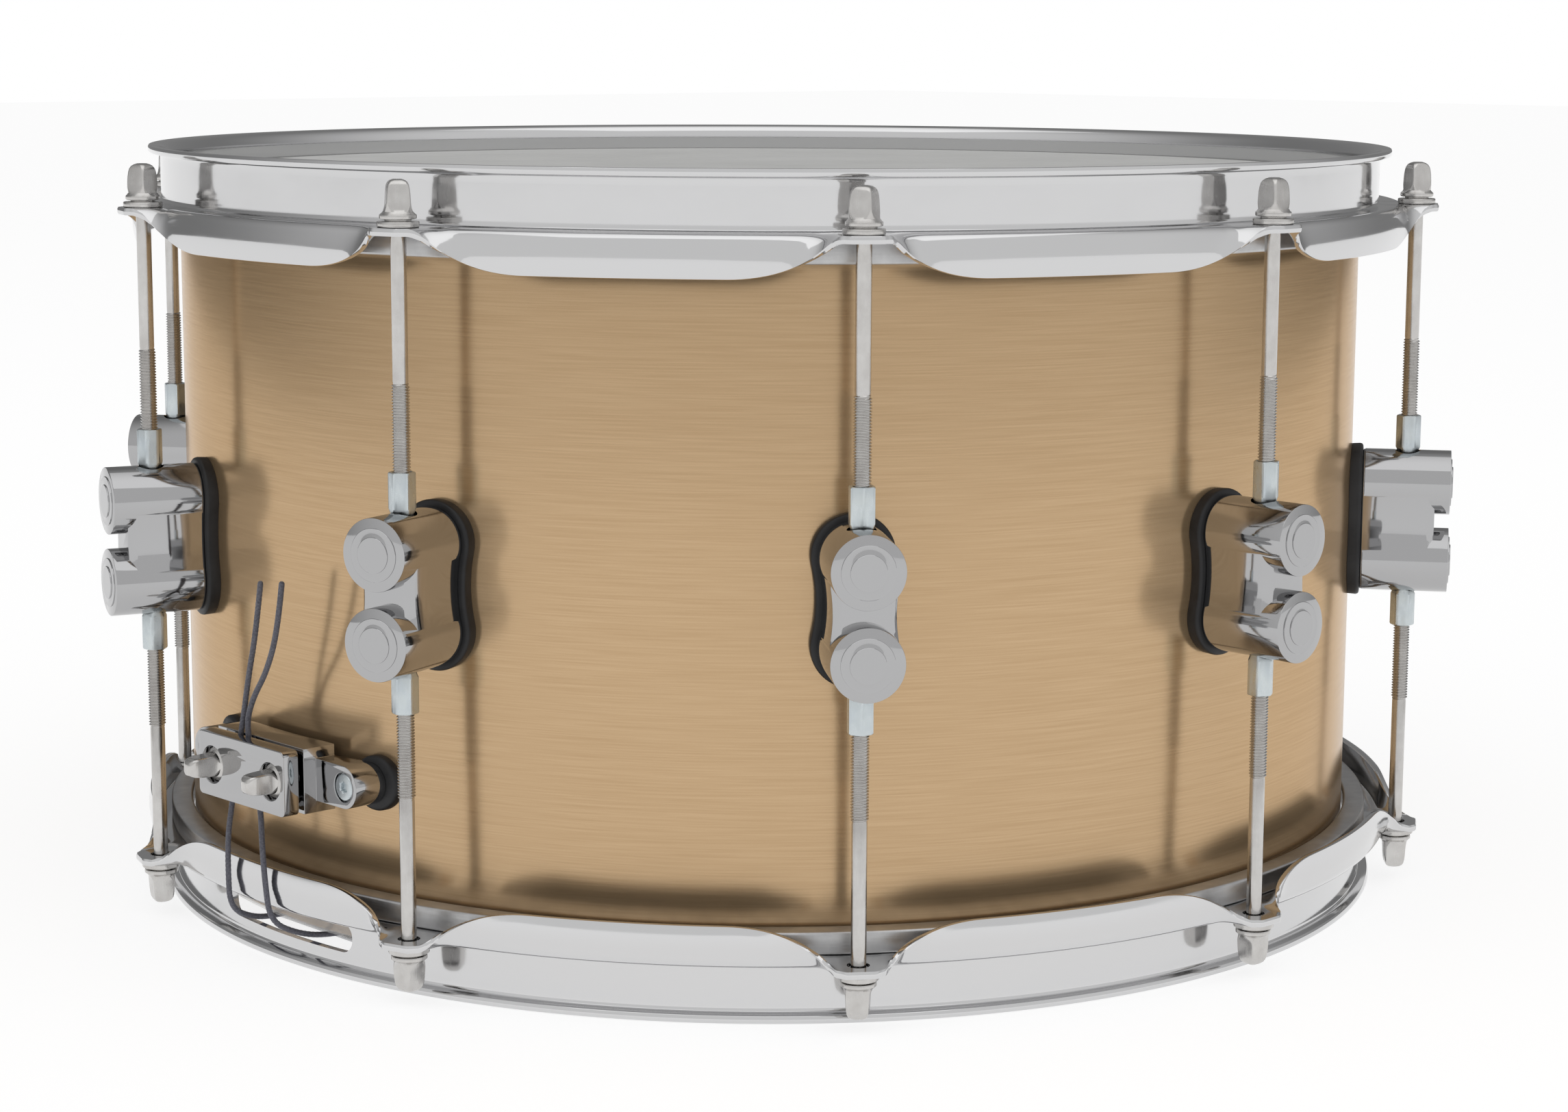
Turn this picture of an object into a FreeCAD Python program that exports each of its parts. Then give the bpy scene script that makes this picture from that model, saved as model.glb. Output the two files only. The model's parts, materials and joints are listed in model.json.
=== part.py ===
import FreeCAD, Part
import math
import os
import re

import Sketcher
from FreeCAD import Placement, Rotation, Vector

# Snare drum, 14 in across and 8 in deep.
# Frame: +Z up, origin on the drum's axis in the plane of the bottom hoop's rim.
# The butt plate is at -X, the strainer (throw-off) at +X. Millimetres.

DIMENSIONS = {
    # shell
    "shell_radius": 177.8,
    "shell_wall": 3.0,
    "shell_depth": 203.2,
    "rim_reach": 8.6,
    "edge_bevel": 0.8,
    "vent_radius": 6.0,
    "vent_angle": 72.0,
    # hoops, measured from the rim plane towards the shell
    "hoop_gauge": 2.0,
    "lip_radius": 187.0,
    "lip_rise": 2.4,
    "wall_radius": 183.2,
    "shelf_rise": 15.8,
    "skirt_radius": 191.0,
    "skirt_rise": 27.0,
    "ear_reach": 200.4,
    "ear_width": 13.0,
    "rod_hole_radius": 3.0,
    "scallop_half": 34.0,
    "scallop_flat": 5.0,
    "gate_length": 58.0,
    "gate_bottom": 6.0,
    "gate_top": 14.4,
    # heads and their flesh hoops
    "head_gauge": 0.4,
    "collar_gap": 0.3,
    "flesh_radius": 184.8,
    "flesh_rise": 24.0,
    # lugs
    "lug_count": 10,
    "first_lug_angle": 18.0,
    "turret_radius": 9.6,
    "turret_spread": 11.7,
    "lug_back": 181.2,
    "lug_face": 207.0,
    "step_radius": 7.0,
    "button_radius": 4.7,
    "step_height": 0.35,
    "waist_half": 8.15,
    "web_face": 202.6,
    "gasket_margin": 1.5,
    # tension rods, tube nuts and washers
    "rod_circle": 194.2,
    "shaft_radius": 2.05,
    "thread_radius": 2.4,
    "head_tip": 3.6,
    "head_side": 6.2,
    "head_length": 8.9,
    "collar_radius": 4.8,
    "collar_height": 1.2,
    "neck_radius": 3.4,
    "neck_height": 0.5,
    "thread_start": 55.4,
    "thread_end": 96.4,
    "washer_radius": 5.45,
    "washer_height": 1.6,
    "nut_radius": 3.55,
    "nut_flats": 6.6,
    "nut_reach": 31.75,
    "nut_inner": 9.0,
    "nut_bore": 2.45,
    "screw_radius": 2.3,
    "screw_head_radius": 4.3,
    "screw_head_height": 2.6,
    # butt plate and strainer, shared
    "boss_spread": 33.0,
    "boss_radius": 5.85,
    "boss_face": 185.8,
    "boss_depth": 12.0,
    "boss_counterbore": 4.1,
    "boss_sink": 1.4,
    "pad_radius": 7.6,
    "pad_front": 180.2,
    "plate_width": 41.0,
    "plate_height": 18.0,
    "plate_depth": 5.0,
    "cord_gap": 1.65,
    "clamp_spread": 13.9,
    "clamp_hole": 2.2,
    "counterbore": 5.2,
    "counterbore_depth": 2.6,
    "key_side": 5.6,
    "key_length": 9.4,
    "key_flange": 1.4,
    "key_flange_radius": 4.6,
    "clamp_shank": 7.7,
    "cord_radius": 0.775,
    "bracket_head_radius": 3.75,
    "bracket_head_height": 1.3,
    "bracket_screw_length": 20.0,
    "bracket_nut_radius": 4.0,
    "bracket_nut_height": 3.2,
    # butt
    "butt_height": 54.0,
    "butt_front": 189.75,
    # strainer
    "strainer_height": 70.0,
    "cheek_inner": 13.3,
    "cheek_outer": 16.5,
    "frame_back": 179.6,
    "frame_front": 183.5,
    "frame_low": 44.0,
    "frame_high": 102.0,
    "low_cheek_reach": 190.5,
    "low_cheek_foot": 52.0,
    "high_cheek_reach": 204.0,
    "high_cheek_foot": 77.5,
    "pivot_out": 197.0,
    "pivot_high": 92.0,
    "hub_radius": 9.0,
    "hub_inner": 4.2,
    "arm_depth": 10.0,
    "crank_throw": 4.95,
    "crank_radius": 1.6,
    "pivot_radius": 2.5,
    "slide_clear": 0.4,
    "slide_back": 2.4,
    "slide_rib": 9.0,
    "slide_bridge": 4.9,
    "slide_sill": 4.0,
    "tongue_half": 3.8,
    "jaw_front": 195.0,
    "jaw_low": 53.0,
    "jaw_depth": 3.7,
    "clamp_back": 3.2,
    "knob_radius": 6.5,
    "knob_low": 36.0,
    "knob_height": 7.5,
    "adjuster_out": 190.6,
    "adjuster_radius": 2.4,
    "adjuster_length": 41.0,
    "bridge_low": 77.4,
    # snare wires
    "wire_count": 20,
    "wire_radius": 1.1,
    "wire_pitch": 2.45,
    "wire_half_length": 156.0,
    "wire_height": 6.8,
    "end_plate_inner": 150.0,
    "end_plate_outer": 171.0,
    "end_plate_width": 54.0,
    "end_plate_gauge": 1.2,
}

# Routes of the four snare cords, end plate first.
BUTT_CORD_LEFT = [
    (-168.0, 16.7, 6.6), (-176.0, 16.2, 6.5), (-184.5, 14.3, 8.3), (-192.6, 12.4, 12.8),
    (-193.2, 12.1, 23.5), (-192.4, 12.9, 34.0), (-190.575, 13.1, 42.5), (-190.575, 10.9, 54.0),
    (-190.575, 7.0, 66.0), (-190.9, 3.4, 79.0), (-191.3, -1.6, 93.0), (-191.5, -4.6, 107.0),
]
BUTT_CORD_RIGHT = [
    (-168.0, -11.0, 6.6), (-176.0, -10.2, 6.5), (-184.5, -8.9, 8.3), (-192.6, -7.2, 12.8),
    (-193.2, -6.0, 23.5), (-192.5, -3.9, 34.0), (-190.575, -0.8, 42.5), (-190.575, 1.8, 54.0),
    (-190.575, 5.4, 65.5), (-190.9, 1.6, 73.5), (-191.2, -6.3, 82.6), (-191.5, -12.3, 95.0),
    (-191.9, -15.3, 108.3),
]
STRAINER_CORD_NEAR = [
    (168.0, 12.9, 6.6), (176.0, 12.3, 6.5), (184.5, 11.3, 8.3), (192.6, 10.4, 12.8),
    (193.4, 10.1, 23.5), (194.0, 9.8, 34.0), (195.825, 9.5, 44.0), (195.825, 8.8, 56.5),
    (195.825, 9.4, 68.0), (195.825, 8.6, 78.5),
]

doc = FreeCAD.newDocument("SnareDrum")
sheet = doc.addObject("Spreadsheet::Sheet", "Dims")
parts = []


def fill_sheet():
    for row, (alias, number) in enumerate(DIMENSIONS.items(), start=1):
        sheet.set(f"A{row}", alias)
        sheet.set(f"B{row}", str(number))
        sheet.setAlias(f"B{row}", alias)
    doc.recompute()


def size(expression):
    """The value of an expression of the sheet's cells, in millimetres or degrees."""
    return float(sheet.evalExpression(expression))


def linked(expression):
    """The same expression as other objects write it, with the sheet's name before each cell."""
    return re.sub("[a-z][a-z_]*", lambda word: f"Dims.{word.group()}", expression)


def bind(obj, **expressions):
    for prop, expression in expressions.items():
        setattr(obj, prop, size(expression))
        obj.setExpression(prop, linked(expression))


def keep(obj, label):
    """Marks an object as a sub-part of its own and names it."""
    obj.Label = label
    parts.append(obj)
    return obj


# ---- primitives whose sizes follow the sheet

def cylinder(name, radius, height, base, direction=(0, 0, 1)):
    obj = doc.addObject("Part::Cylinder", name)
    bind(obj, Radius=radius, Height=height)
    obj.Placement = Placement(Vector(*base), Rotation(Vector(0, 0, 1), Vector(*direction)))
    return obj


def cone(name, radius_low, radius_high, height, base):
    obj = doc.addObject("Part::Cone", name)
    bind(obj, Radius1=radius_low, Radius2=radius_high, Height=height)
    obj.Placement.Base = Vector(*base)
    return obj


def box(name, length, width, height, corner):
    """A box; corner holds expressions for its lowest corner."""
    obj = doc.addObject("Part::Box", name)
    bind(obj, Length=length, Width=width, Height=height)
    obj.Placement.Base = Vector(*(size(each) for each in corner))
    for axis, expression in zip("xyz", corner):
        obj.setExpression(f"Placement.Base.{axis}", linked(expression))
    return obj


def fuse(name, shapes):
    obj = doc.addObject("Part::MultiFuse", name)
    obj.Shapes = shapes
    return obj


def cut(name, base, tools):
    tool = tools[0] if len(tools) == 1 else fuse(f"{name}_tools", tools)
    obj = doc.addObject("Part::Cut", name)
    obj.Base = base
    obj.Tool = tool
    return obj


def common(name, first, second):
    obj = doc.addObject("Part::MultiCommon", name)
    obj.Shapes = [first, second]
    return obj


def place(shape_of, label, placement):
    """A finished copy of a sub-part, put at a placement of its own."""
    obj = doc.addObject("Part::Feature", label)
    obj.Shape = shape_of.Shape.copy()
    obj.Placement = placement.multiply(shape_of.Placement)
    return keep(obj, label)


def group(label, shapes):
    """Identical loose pieces kept together in one sub-part."""
    obj = doc.addObject("Part::Feature", label)
    obj.Shape = Part.makeCompound(shapes)
    return keep(obj, label)


def moved(shape, placement):
    copy = shape.copy()
    copy.Placement = placement.multiply(copy.Placement)
    return copy


def turned(angle):
    return Placement(Vector(0, 0, 0), Rotation(Vector(0, 0, 1), angle))


def flipped():
    """Turns a piece of the bottom hoop's side over to the batter side."""
    height = size("shell_depth + 2 * rim_reach")
    return Placement(Vector(0, 0, height), Rotation(Vector(1, 0, 0), 180))


def lug_angles():
    count = int(size("lug_count"))
    first = size("first_lug_angle")
    return [first + 360.0 / count * index for index in range(count)]


# ---- sketched bodies

def origin_plane(body, role):
    return next(feature for feature in body.Origin.OriginFeatures if feature.Role == role)


def add_sketch(body, name, role):
    sketch = body.newObject("Sketcher::SketchObject", name)
    sketch.AttachmentSupport = (origin_plane(body, role), [""])
    sketch.MapMode = "FlatFace"
    return sketch


def pin_down(sketch, geometry, horizontal, vertical):
    """Ties a line's start point to two expressions of the sheet."""
    axes = (("DistanceX", horizontal, -2), ("DistanceY", vertical, -1))
    for kind, expression, axis in axes:
        value = size(expression)
        if abs(value) < 1e-9:
            sketch.addConstraint(Sketcher.Constraint("PointOnObject", geometry, 1, axis))
            continue
        index = sketch.addConstraint(Sketcher.Constraint(kind, -1, 1, geometry, 1, value))
        sketch.setExpression(f"Constraints[{index}]", linked(expression))


def draw_outline(sketch, corners):
    """A closed outline of straight lines through corners given as expressions."""
    points = [Vector(size(u), size(v), 0) for u, v in corners]
    count = len(points)
    for index, point in enumerate(points):
        sketch.addGeometry(Part.LineSegment(point, points[(index + 1) % count]), False)
    for index in range(count):
        following = (index + 1) % count
        sketch.addConstraint(Sketcher.Constraint("Coincident", index, 2, following, 1))
    for index, (u, v) in enumerate(corners):
        pin_down(sketch, index, u, v)


def revolved_body(name, corners):
    """A body turned about Z from an outline of (radius, height) corners."""
    body = doc.addObject("PartDesign::Body", name)
    sketch = add_sketch(body, f"{name}_outline", "XZ_Plane")
    draw_outline(sketch, corners)
    turn = body.newObject("PartDesign::Revolution", f"{name}_turn")
    turn.Profile = sketch
    turn.ReferenceAxis = (sketch, ["V_Axis"])
    turn.Angle = 360
    return body


def extruded_body(name, corners, role, length, symmetric=True):
    """A body padded from an outline drawn on one of its origin planes."""
    body = doc.addObject("PartDesign::Body", name)
    sketch = add_sketch(body, f"{name}_outline", role)
    draw_outline(sketch, corners)
    pad = body.newObject("PartDesign::Pad", f"{name}_pad")
    pad.Profile = sketch
    bind(pad, Length=length)
    pad.Midplane = symmetric
    return body


# ---- shell, heads and hoops

def screw_places():
    """Angle and height of each lug screw."""
    middle = size("shell_depth / 2 + rim_reach")
    spread = size("turret_spread")
    return [(angle, middle + side * spread) for angle in lug_angles() for side in (-1, 1)]


def radial_hole(name, angle, height, radius, start, length):
    direction = Vector(math.cos(math.radians(angle)), math.sin(math.radians(angle)), 0)
    base = direction * start + Vector(0, 0, height)
    return cylinder(name, radius, length, base, direction)


def bracket_heights():
    """Sides (-1 butt, +1 strainer) and boss heights of the two brackets."""
    return [(-1, size("butt_height")), (1, size("strainer_height"))]


def make_shell():
    bottom = "rim_reach"
    top = "rim_reach + shell_depth"
    outer = "shell_radius"
    inner = "shell_radius - shell_wall"
    body = revolved_body("shell_tube", [
        (f"{inner}", f"{bottom} + 2 * edge_bevel"),
        (f"{outer} - 2 * edge_bevel", bottom),
        (f"{outer} - edge_bevel", bottom),
        (outer, f"{bottom} + edge_bevel"),
        (outer, f"{top} - edge_bevel"),
        (f"{outer} - edge_bevel", top),
        (f"{outer} - 2 * edge_bevel", top),
        (f"{inner}", f"{top} - 2 * edge_bevel"),
    ])
    start = size("shell_radius - 4 * shell_wall")
    drills = []
    for number, (angle, height) in enumerate(screw_places()):
        name = f"lug_drill_{number}"
        drills.append(radial_hole(name, angle, height, "screw_radius + 0.2", start, "6 * shell_wall"))
    for side, height in bracket_heights():
        for across in (-1, 1):
            base = (side * start * 0.95, across * size("boss_spread"), height)
            name = f"bracket_drill_{side}_{across}".replace("-", "m")
            drills.append(cylinder(name, "screw_radius + 0.2", "9 * shell_wall", base, (side, 0, 0)))
    middle = size("shell_depth / 2 + rim_reach")
    vent = radial_hole("vent_drill", size("vent_angle"), middle, "vent_radius", start, "6 * shell_wall")
    keep(cut("shell_cut", body, drills + [vent]), "shell")


def make_vent_grommet():
    """A turned ring lining the vent hole, with a flange outside and a rolled lip inside."""
    body = revolved_body("grommet_turn", [
        ("vent_radius - 1.2", "shell_radius - shell_wall - 1"),
        ("vent_radius - 0.1", "shell_radius - shell_wall - 1"),
        ("vent_radius - 0.1", "shell_radius + 0.3"),
        ("vent_radius + 2.4", "shell_radius + 0.3"),
        ("vent_radius + 2.0", "shell_radius + 1.4"),
        ("vent_radius - 1.2", "shell_radius + 1.4"),
    ])
    doc.recompute()
    angle = size("vent_angle")
    outward = Placement(Vector(0, 0, size("shell_depth / 2 + rim_reach")), Rotation())
    tipped = Placement(Vector(0, 0, 0), Rotation(Vector(0, 1, 0), 90))
    place(body, "vent_grommet", outward.multiply(turned(angle)).multiply(tipped))


def make_heads():
    """Film stretched over the shell's edge, with a collar down to its flesh hoop."""
    low = "rim_reach - head_gauge"
    collar = "shell_radius + collar_gap"
    film = revolved_body("head_film", [
        ("0", low),
        (f"{collar} - 0.1", low),
        (f"{collar} + head_gauge", f"{low} + 0.5"),
        (f"{collar} + head_gauge", "flesh_rise - 1"),
        (collar, "flesh_rise - 1"),
        (collar, "rim_reach + 0.4"),
        ("shell_radius - 0.1", "rim_reach"),
        ("0", "rim_reach"),
    ])
    inner = f"{collar} + head_gauge"
    ring = revolved_body("flesh_ring", [
        (inner, "shelf_rise + hoop_gauge"),
        ("flesh_radius - 0.6", "shelf_rise + hoop_gauge"),
        ("flesh_radius", "shelf_rise + hoop_gauge + 0.6"),
        ("flesh_radius", "flesh_rise - 0.6"),
        ("flesh_radius - 0.6", "flesh_rise"),
        (inner, "flesh_rise"),
    ])
    doc.recompute()
    place(film, "snare_side_head", Placement())
    place(film, "batter_head", flipped())
    place(ring, "snare_flesh_hoop", Placement())
    place(ring, "batter_flesh_hoop", flipped())


def hoop_corners():
    inner = "wall_radius - hoop_gauge"
    return [
        (inner, "lip_rise + 0.8"),
        ("wall_radius - hoop_gauge + 0.8", "0.9"),
        ("wall_radius + 0.4", "0"),
        ("lip_radius - 0.6", "0"),
        ("lip_radius", "0.6"),
        ("lip_radius", "lip_rise - 0.6"),
        ("lip_radius - 0.6", "lip_rise"),
        ("wall_radius + 1.2", "lip_rise + 0.5"),
        ("wall_radius", "lip_rise + 1.9"),
        ("wall_radius", "shelf_rise - 1.5"),
        ("wall_radius + 1.5", "shelf_rise"),
        ("skirt_radius - 1.2", "shelf_rise"),
        ("skirt_radius", "shelf_rise + 1.2"),
        ("skirt_radius", "skirt_rise"),
        ("skirt_radius - hoop_gauge", "skirt_rise"),
        ("skirt_radius - hoop_gauge", "shelf_rise + hoop_gauge"),
        (inner, "shelf_rise + hoop_gauge"),
    ]


def scallop_face():
    """The notch in the skirt at an ear: flat over the rod, then two arcs to the skirt's edge."""
    half = size("scallop_half")
    flat = size("scallop_flat")
    low = size("shelf_rise + hoop_gauge")
    high = size("skirt_rise")
    run = half - flat
    rise = high - low
    radius = (run ** 2 + rise ** 2) / (2 * rise)
    turn = math.asin(run / radius) / 2
    bulge = Vector(0, half - radius * math.sin(turn), high - radius * (1 - math.cos(turn)))
    mirrored = Vector(0, -bulge.y, bulge.z)
    spare = Vector(0, 0, 2)
    corners = [Vector(0, -half, high), Vector(0, -flat, low), Vector(0, flat, low), Vector(0, half, high)]
    edges = [
        Part.Arc(corners[0], mirrored, corners[1]).toShape(),
        Part.LineSegment(corners[1], corners[2]).toShape(),
        Part.Arc(corners[2], bulge, corners[3]).toShape(),
        Part.LineSegment(corners[3], corners[3] + spare).toShape(),
        Part.LineSegment(corners[3] + spare, corners[0] + spare).toShape(),
        Part.LineSegment(corners[0] + spare, corners[0]).toShape(),
    ]
    return Part.Face(Part.Wire(edges))


def all_lugs(name, shape):
    """A compound of one shape at every lug."""
    obj = doc.addObject("Part::Feature", name)
    obj.Shape = Part.makeCompound([moved(shape, turned(angle)) for angle in lug_angles()])
    return obj


def make_ear():
    """A flat tab that carries the rod, rounded at its outer corners."""
    length = "ear_reach - wall_radius + 0.5"
    tab = box("ear_tab", length, "ear_width", "hoop_gauge",
              ("wall_radius - 0.5", "-ear_width / 2", "shelf_rise"))
    doc.recompute()
    tips = [edge for edge in tab.Shape.Edges
            if edge.BoundBox.XMin > size("ear_reach - 0.1") and edge.BoundBox.ZLength > 1]
    return tab.Shape.makeFillet(4.0, tips)


def make_hoops():
    rolled = revolved_body("rolled_hoop", hoop_corners())
    doc.recompute()
    depth = size("skirt_radius + 10")
    scallops = all_lugs("scallops", scallop_face().extrude(Vector(depth, 0, 0)))
    ears = all_lugs("ears", make_ear())
    holes = []
    for number, angle in enumerate(lug_angles()):
        base = turned(angle).multVec(Vector(size("rod_circle"), 0, size("shelf_rise - 5")))
        holes.append(cylinder(f"rod_hole_{number}", "rod_hole_radius", "12", base))
    scalloped = cut("scalloped_hoop", rolled, [scallops])
    eared = fuse("eared_hoop", [scalloped, ears])
    drilled = cut("drilled_hoop", eared, holes)
    gates = []
    for side in (-1, 1):
        gates.append(make_gate(side))
    keep(cut("gated_hoop", drilled, gates), "bottom_hoop")
    doc.recompute()
    place(drilled, "top_hoop", flipped())


def make_gate(side):
    """The slot with round ends that lets the snare cords through the hoop's wall."""
    word = "strainer" if side > 0 else "butt"
    near = "wall_radius - 6" if side > 0 else "-wall_radius - 3"
    height = "gate_top - gate_bottom"
    straight = f"gate_length - ( {height} )"
    body = box(f"{word}_gate_slot", "9", straight, height,
               (near, f"-( {straight} ) / 2", "gate_bottom"))
    middle = size("(gate_top + gate_bottom) / 2")
    ends = []
    for across in (-1, 1):
        base = (size(near), across * size(f"( {straight} ) / 2"), middle)
        name = f"{word}_gate_end_{across}".replace("-", "m")
        ends.append(cylinder(name, f"( {height} ) / 2", "9", base, (1, 0, 0)))
    return fuse(f"{word}_gate", [body] + ends)


# ---- lugs, tube nuts, tension rods

def make_lugs():
    middle = "shell_depth / 2 + rim_reach"
    pieces = [box("lug_web", "web_face - lug_back", "2 * waist_half", "2 * turret_spread",
                  ("lug_back", "-waist_half", f"{middle} - turret_spread"))]
    tools = []
    for side in (-1, 1):
        tag = "low" if side < 0 else "high"
        height = size(middle) + side * size("turret_spread")
        base = (size("lug_back"), 0, height)
        pieces.append(cylinder(f"turret_{tag}", "turret_radius", "lug_face - lug_back", base, (1, 0, 0)))
        for word, radius, steps in (("step", "step_radius", 1), ("button", "button_radius", 2)):
            reach = f"lug_face + {steps} * step_height - lug_back"
            pieces.append(cylinder(f"{word}_{tag}", radius, reach, base, (1, 0, 0)))
        bore_start = size(middle) + side * size("nut_inner - 0.5")
        bore_base = (size("rod_circle"), 0, bore_start)
        tools.append(cylinder(f"nut_bore_{tag}", "nut_radius + 0.15", "20", bore_base, (0, 0, side)))
        tools.append(cylinder(f"screw_bore_{tag}", "screw_radius", "8.5", (size("lug_back - 0.5"), 0, height),
                              (1, 0, 0)))
    lug = cut("lug_casting", fuse("lug_solid", pieces), tools)
    doc.recompute()
    for number, angle in enumerate(lug_angles(), start=1):
        place(lug, f"lug_{number:02d}", turned(angle))


def lug_gasket_shape():
    """A rubber pad a little larger than the lug's foot, hollowed to lie on the shell."""
    middle = size("shell_depth / 2 + rim_reach")
    spread = size("turret_spread")
    margin = size("gasket_margin")
    back = size("lug_back - 6")
    outline = Part.makeBox(6, 2 * size("waist_half") + 2 * margin, 2 * spread,
                           Vector(back, -size("waist_half") - margin, middle - spread))
    for side in (-1, 1):
        centre = Vector(back, 0, middle + side * spread)
        outline = outline.fuse(Part.makeCylinder(size("turret_radius") + margin, 6, centre, Vector(1, 0, 0)))
    shell = Part.makeCylinder(size("shell_radius"), 60, Vector(0, 0, middle - 30))
    pad = outline.cut(shell)
    for side in (-1, 1):
        centre = Vector(back - 1, 0, middle + side * spread)
        pad = pad.cut(Part.makeCylinder(size("screw_radius + 0.2"), 10, centre, Vector(1, 0, 0)))
    return pad.removeSplitter()


def bracket_pad_shapes():
    """Rubber pads between the shell and the four bracket bosses."""
    shell = Part.makeCylinder(size("shell_radius"), 200)
    front = size("pad_front")
    pads = []
    for side, height in bracket_heights():
        for across in (-1, 1):
            spread = across * (size("boss_spread") + 1.5)
            centre = Vector(side * (front - 9), spread, height)
            pad = Part.makeCylinder(size("pad_radius"), 9, centre, Vector(side, 0, 0)).cut(shell)
            limit = Part.makeCylinder(front, 200)
            hole_base = Vector(side * (front - 12), across * size("boss_spread"), height)
            hole = Part.makeCylinder(size("screw_radius + 0.2"), 16, hole_base, Vector(side, 0, 0))
            pads.append(pad.common(limit).cut(hole))
    return pads


def make_gaskets():
    lug_pad = lug_gasket_shape()
    pads = [moved(lug_pad, turned(angle)) for angle in lug_angles()]
    group("rubber_gaskets", pads + bracket_pad_shapes())


def both_sides(shape):
    """Copies of a snare-side piece at every lug, below and above the drum's middle."""
    low = [moved(shape, turned(angle)) for angle in lug_angles()]
    return low + [moved(each, flipped()) for each in low]


def make_tube_nuts():
    """Threaded tubes with two flats, held in the lugs' turrets."""
    length = "nut_reach - nut_inner"
    low = size("shell_depth / 2 + rim_reach - nut_reach")
    tube = cylinder("nut_round", "nut_radius", length, (size("rod_circle"), 0, low))
    flats = box("nut_flats_box", "nut_flats", "10", length,
                ("rod_circle - nut_flats / 2", "-5", "shell_depth / 2 + rim_reach - nut_reach"))
    bore = cylinder("nut_thread", "nut_bore", "40", (size("rod_circle"), 0, low - 5))
    nut = cut("tube_nut", common("nut_body", tube, flats), [bore])
    doc.recompute()
    group("lug_tube_nuts", both_sides(nut.Shape))


def make_washers():
    base = (size("rod_circle"), 0, size("shelf_rise - washer_height"))
    disc = cylinder("washer_disc", "washer_radius", "washer_height", base)
    hole = cylinder("washer_hole", "shaft_radius + 0.45", "washer_height + 2", (base[0], 0, base[2] - 1))
    washer = cut("rod_washer", disc, [hole])
    doc.recompute()
    group("rod_washers", both_sides(washer.Shape))


def make_tension_rods():
    """Square-headed rods: tapered head, collar, neck, plain shaft, threaded end."""
    tip = size("head_tip")
    head_end = size("head_tip + head_length")
    block = box("rod_head_block", "head_side", "head_side", "head_length",
                ("-head_side / 2", "-head_side / 2", "head_tip"))
    taper = cone("rod_head_taper", "head_side * 0.46", "head_side * 0.8", "head_length", (0, 0, tip))
    flare = cone("rod_head_flare", "head_side / 2", "head_side * 0.62", "2", (0, 0, head_end - 2))
    collar = cylinder("rod_collar", "collar_radius", "collar_height", (0, 0, head_end))
    neck_low = head_end + size("collar_height")
    neck = cylinder("rod_neck", "neck_radius", "neck_height", (0, 0, neck_low))
    shaft = cylinder("rod_shaft", "shaft_radius", "thread_start - head_tip - head_length", (0, 0, head_end))
    thread_base = (0, 0, size("thread_start"))
    thread = cylinder("rod_thread", "thread_radius", "thread_end - thread_start", thread_base)
    head = common("rod_head", block, taper)
    rod = fuse("tension_rod", [head, flare, collar, neck, shaft, thread])
    doc.recompute()
    for number, angle in enumerate(lug_angles(), start=1):
        spot = turned(angle).multiply(Placement(Vector(size("rod_circle"), 0, 0), Rotation()))
        place(rod, f"snare_rod_{number:02d}", spot)
        place(rod, f"batter_rod_{number:02d}", flipped().multiply(spot))


def make_lug_screws():
    """Pan-head screws that hold the lugs from inside the shell."""
    middle = size("shell_depth / 2 + rim_reach")
    face = size("shell_radius - shell_wall") - 0.35
    shapes = []
    for side in (-1, 1):
        height = middle + side * size("turret_spread")
        head = Part.makeCylinder(size("screw_head_radius"), size("screw_head_height"),
                                 Vector(face - size("screw_head_height"), 0, height), Vector(1, 0, 0))
        shank = Part.makeCylinder(size("screw_radius - 0.02"), 13.5, Vector(face, 0, height), Vector(1, 0, 0))
        shapes.append(head.fuse(shank))
    screws = [moved(shape, turned(angle)) for angle in lug_angles() for shape in shapes]
    group("lug_screws", screws)


# ---- butt plate

def bracket_foot(side, height, name):
    """The arm with a round boss at each end that carries a bracket, hollowed for its pads."""
    face = size("boss_face")
    spread = "2 * boss_spread"
    low_x = "boss_face - boss_depth" if side > 0 else "-boss_face"
    corner = (low_x, "-boss_spread", f"{height} - boss_radius")
    arm = box(f"{name}_arm", "boss_depth", spread, "2 * boss_radius", corner)
    pieces = [arm]
    for across in (-1, 1):
        base = (side * face, across * size("boss_spread"), size(height))
        tag = f"{name}_boss_{across}".replace("-", "m")
        pieces.append(cylinder(tag, "boss_radius", "boss_depth", base, (-side, 0, 0)))
    return pieces


def foot_drills(side, height, name):
    face = size("boss_face")
    drills = []
    for across in (-1, 1):
        spot = across * size("boss_spread")
        tag = f"{name}_{across}".replace("-", "m")
        drills.append(cylinder(f"{tag}_drill", "screw_radius + 0.1", "16",
                               (side * (face + 1), spot, size(height)), (-side, 0, 0)))
        drills.append(cylinder(f"{tag}_counterbore", "boss_counterbore", "boss_sink + 1",
                               (side * (face + 1), spot, size(height)), (-side, 0, 0)))
    drills.append(cylinder(f"{name}_shell_relief", "pad_front + 0.05", "120", (0, 0, size(height) - 60)))
    return drills


def make_butt_base():
    block = box("butt_block", "butt_front - frame_back", "plate_width", "plate_height",
                ("-butt_front", "-plate_width / 2", "butt_height - plate_height / 2"))
    pieces = [block] + bracket_foot(-1, "butt_height", "butt")
    tools = foot_drills(-1, "butt_height", "butt_foot")
    for across in (-1, 1):
        base = (-size("butt_front + 1"), across * size("clamp_spread"), size("butt_height"))
        tag = f"butt_tap_{across}".replace("-", "m")
        tools.append(cylinder(tag, "clamp_hole", "7", base, (1, 0, 0)))
    keep(cut("butt_casting", fuse("butt_solid", pieces), tools), "butt_base")


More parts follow.
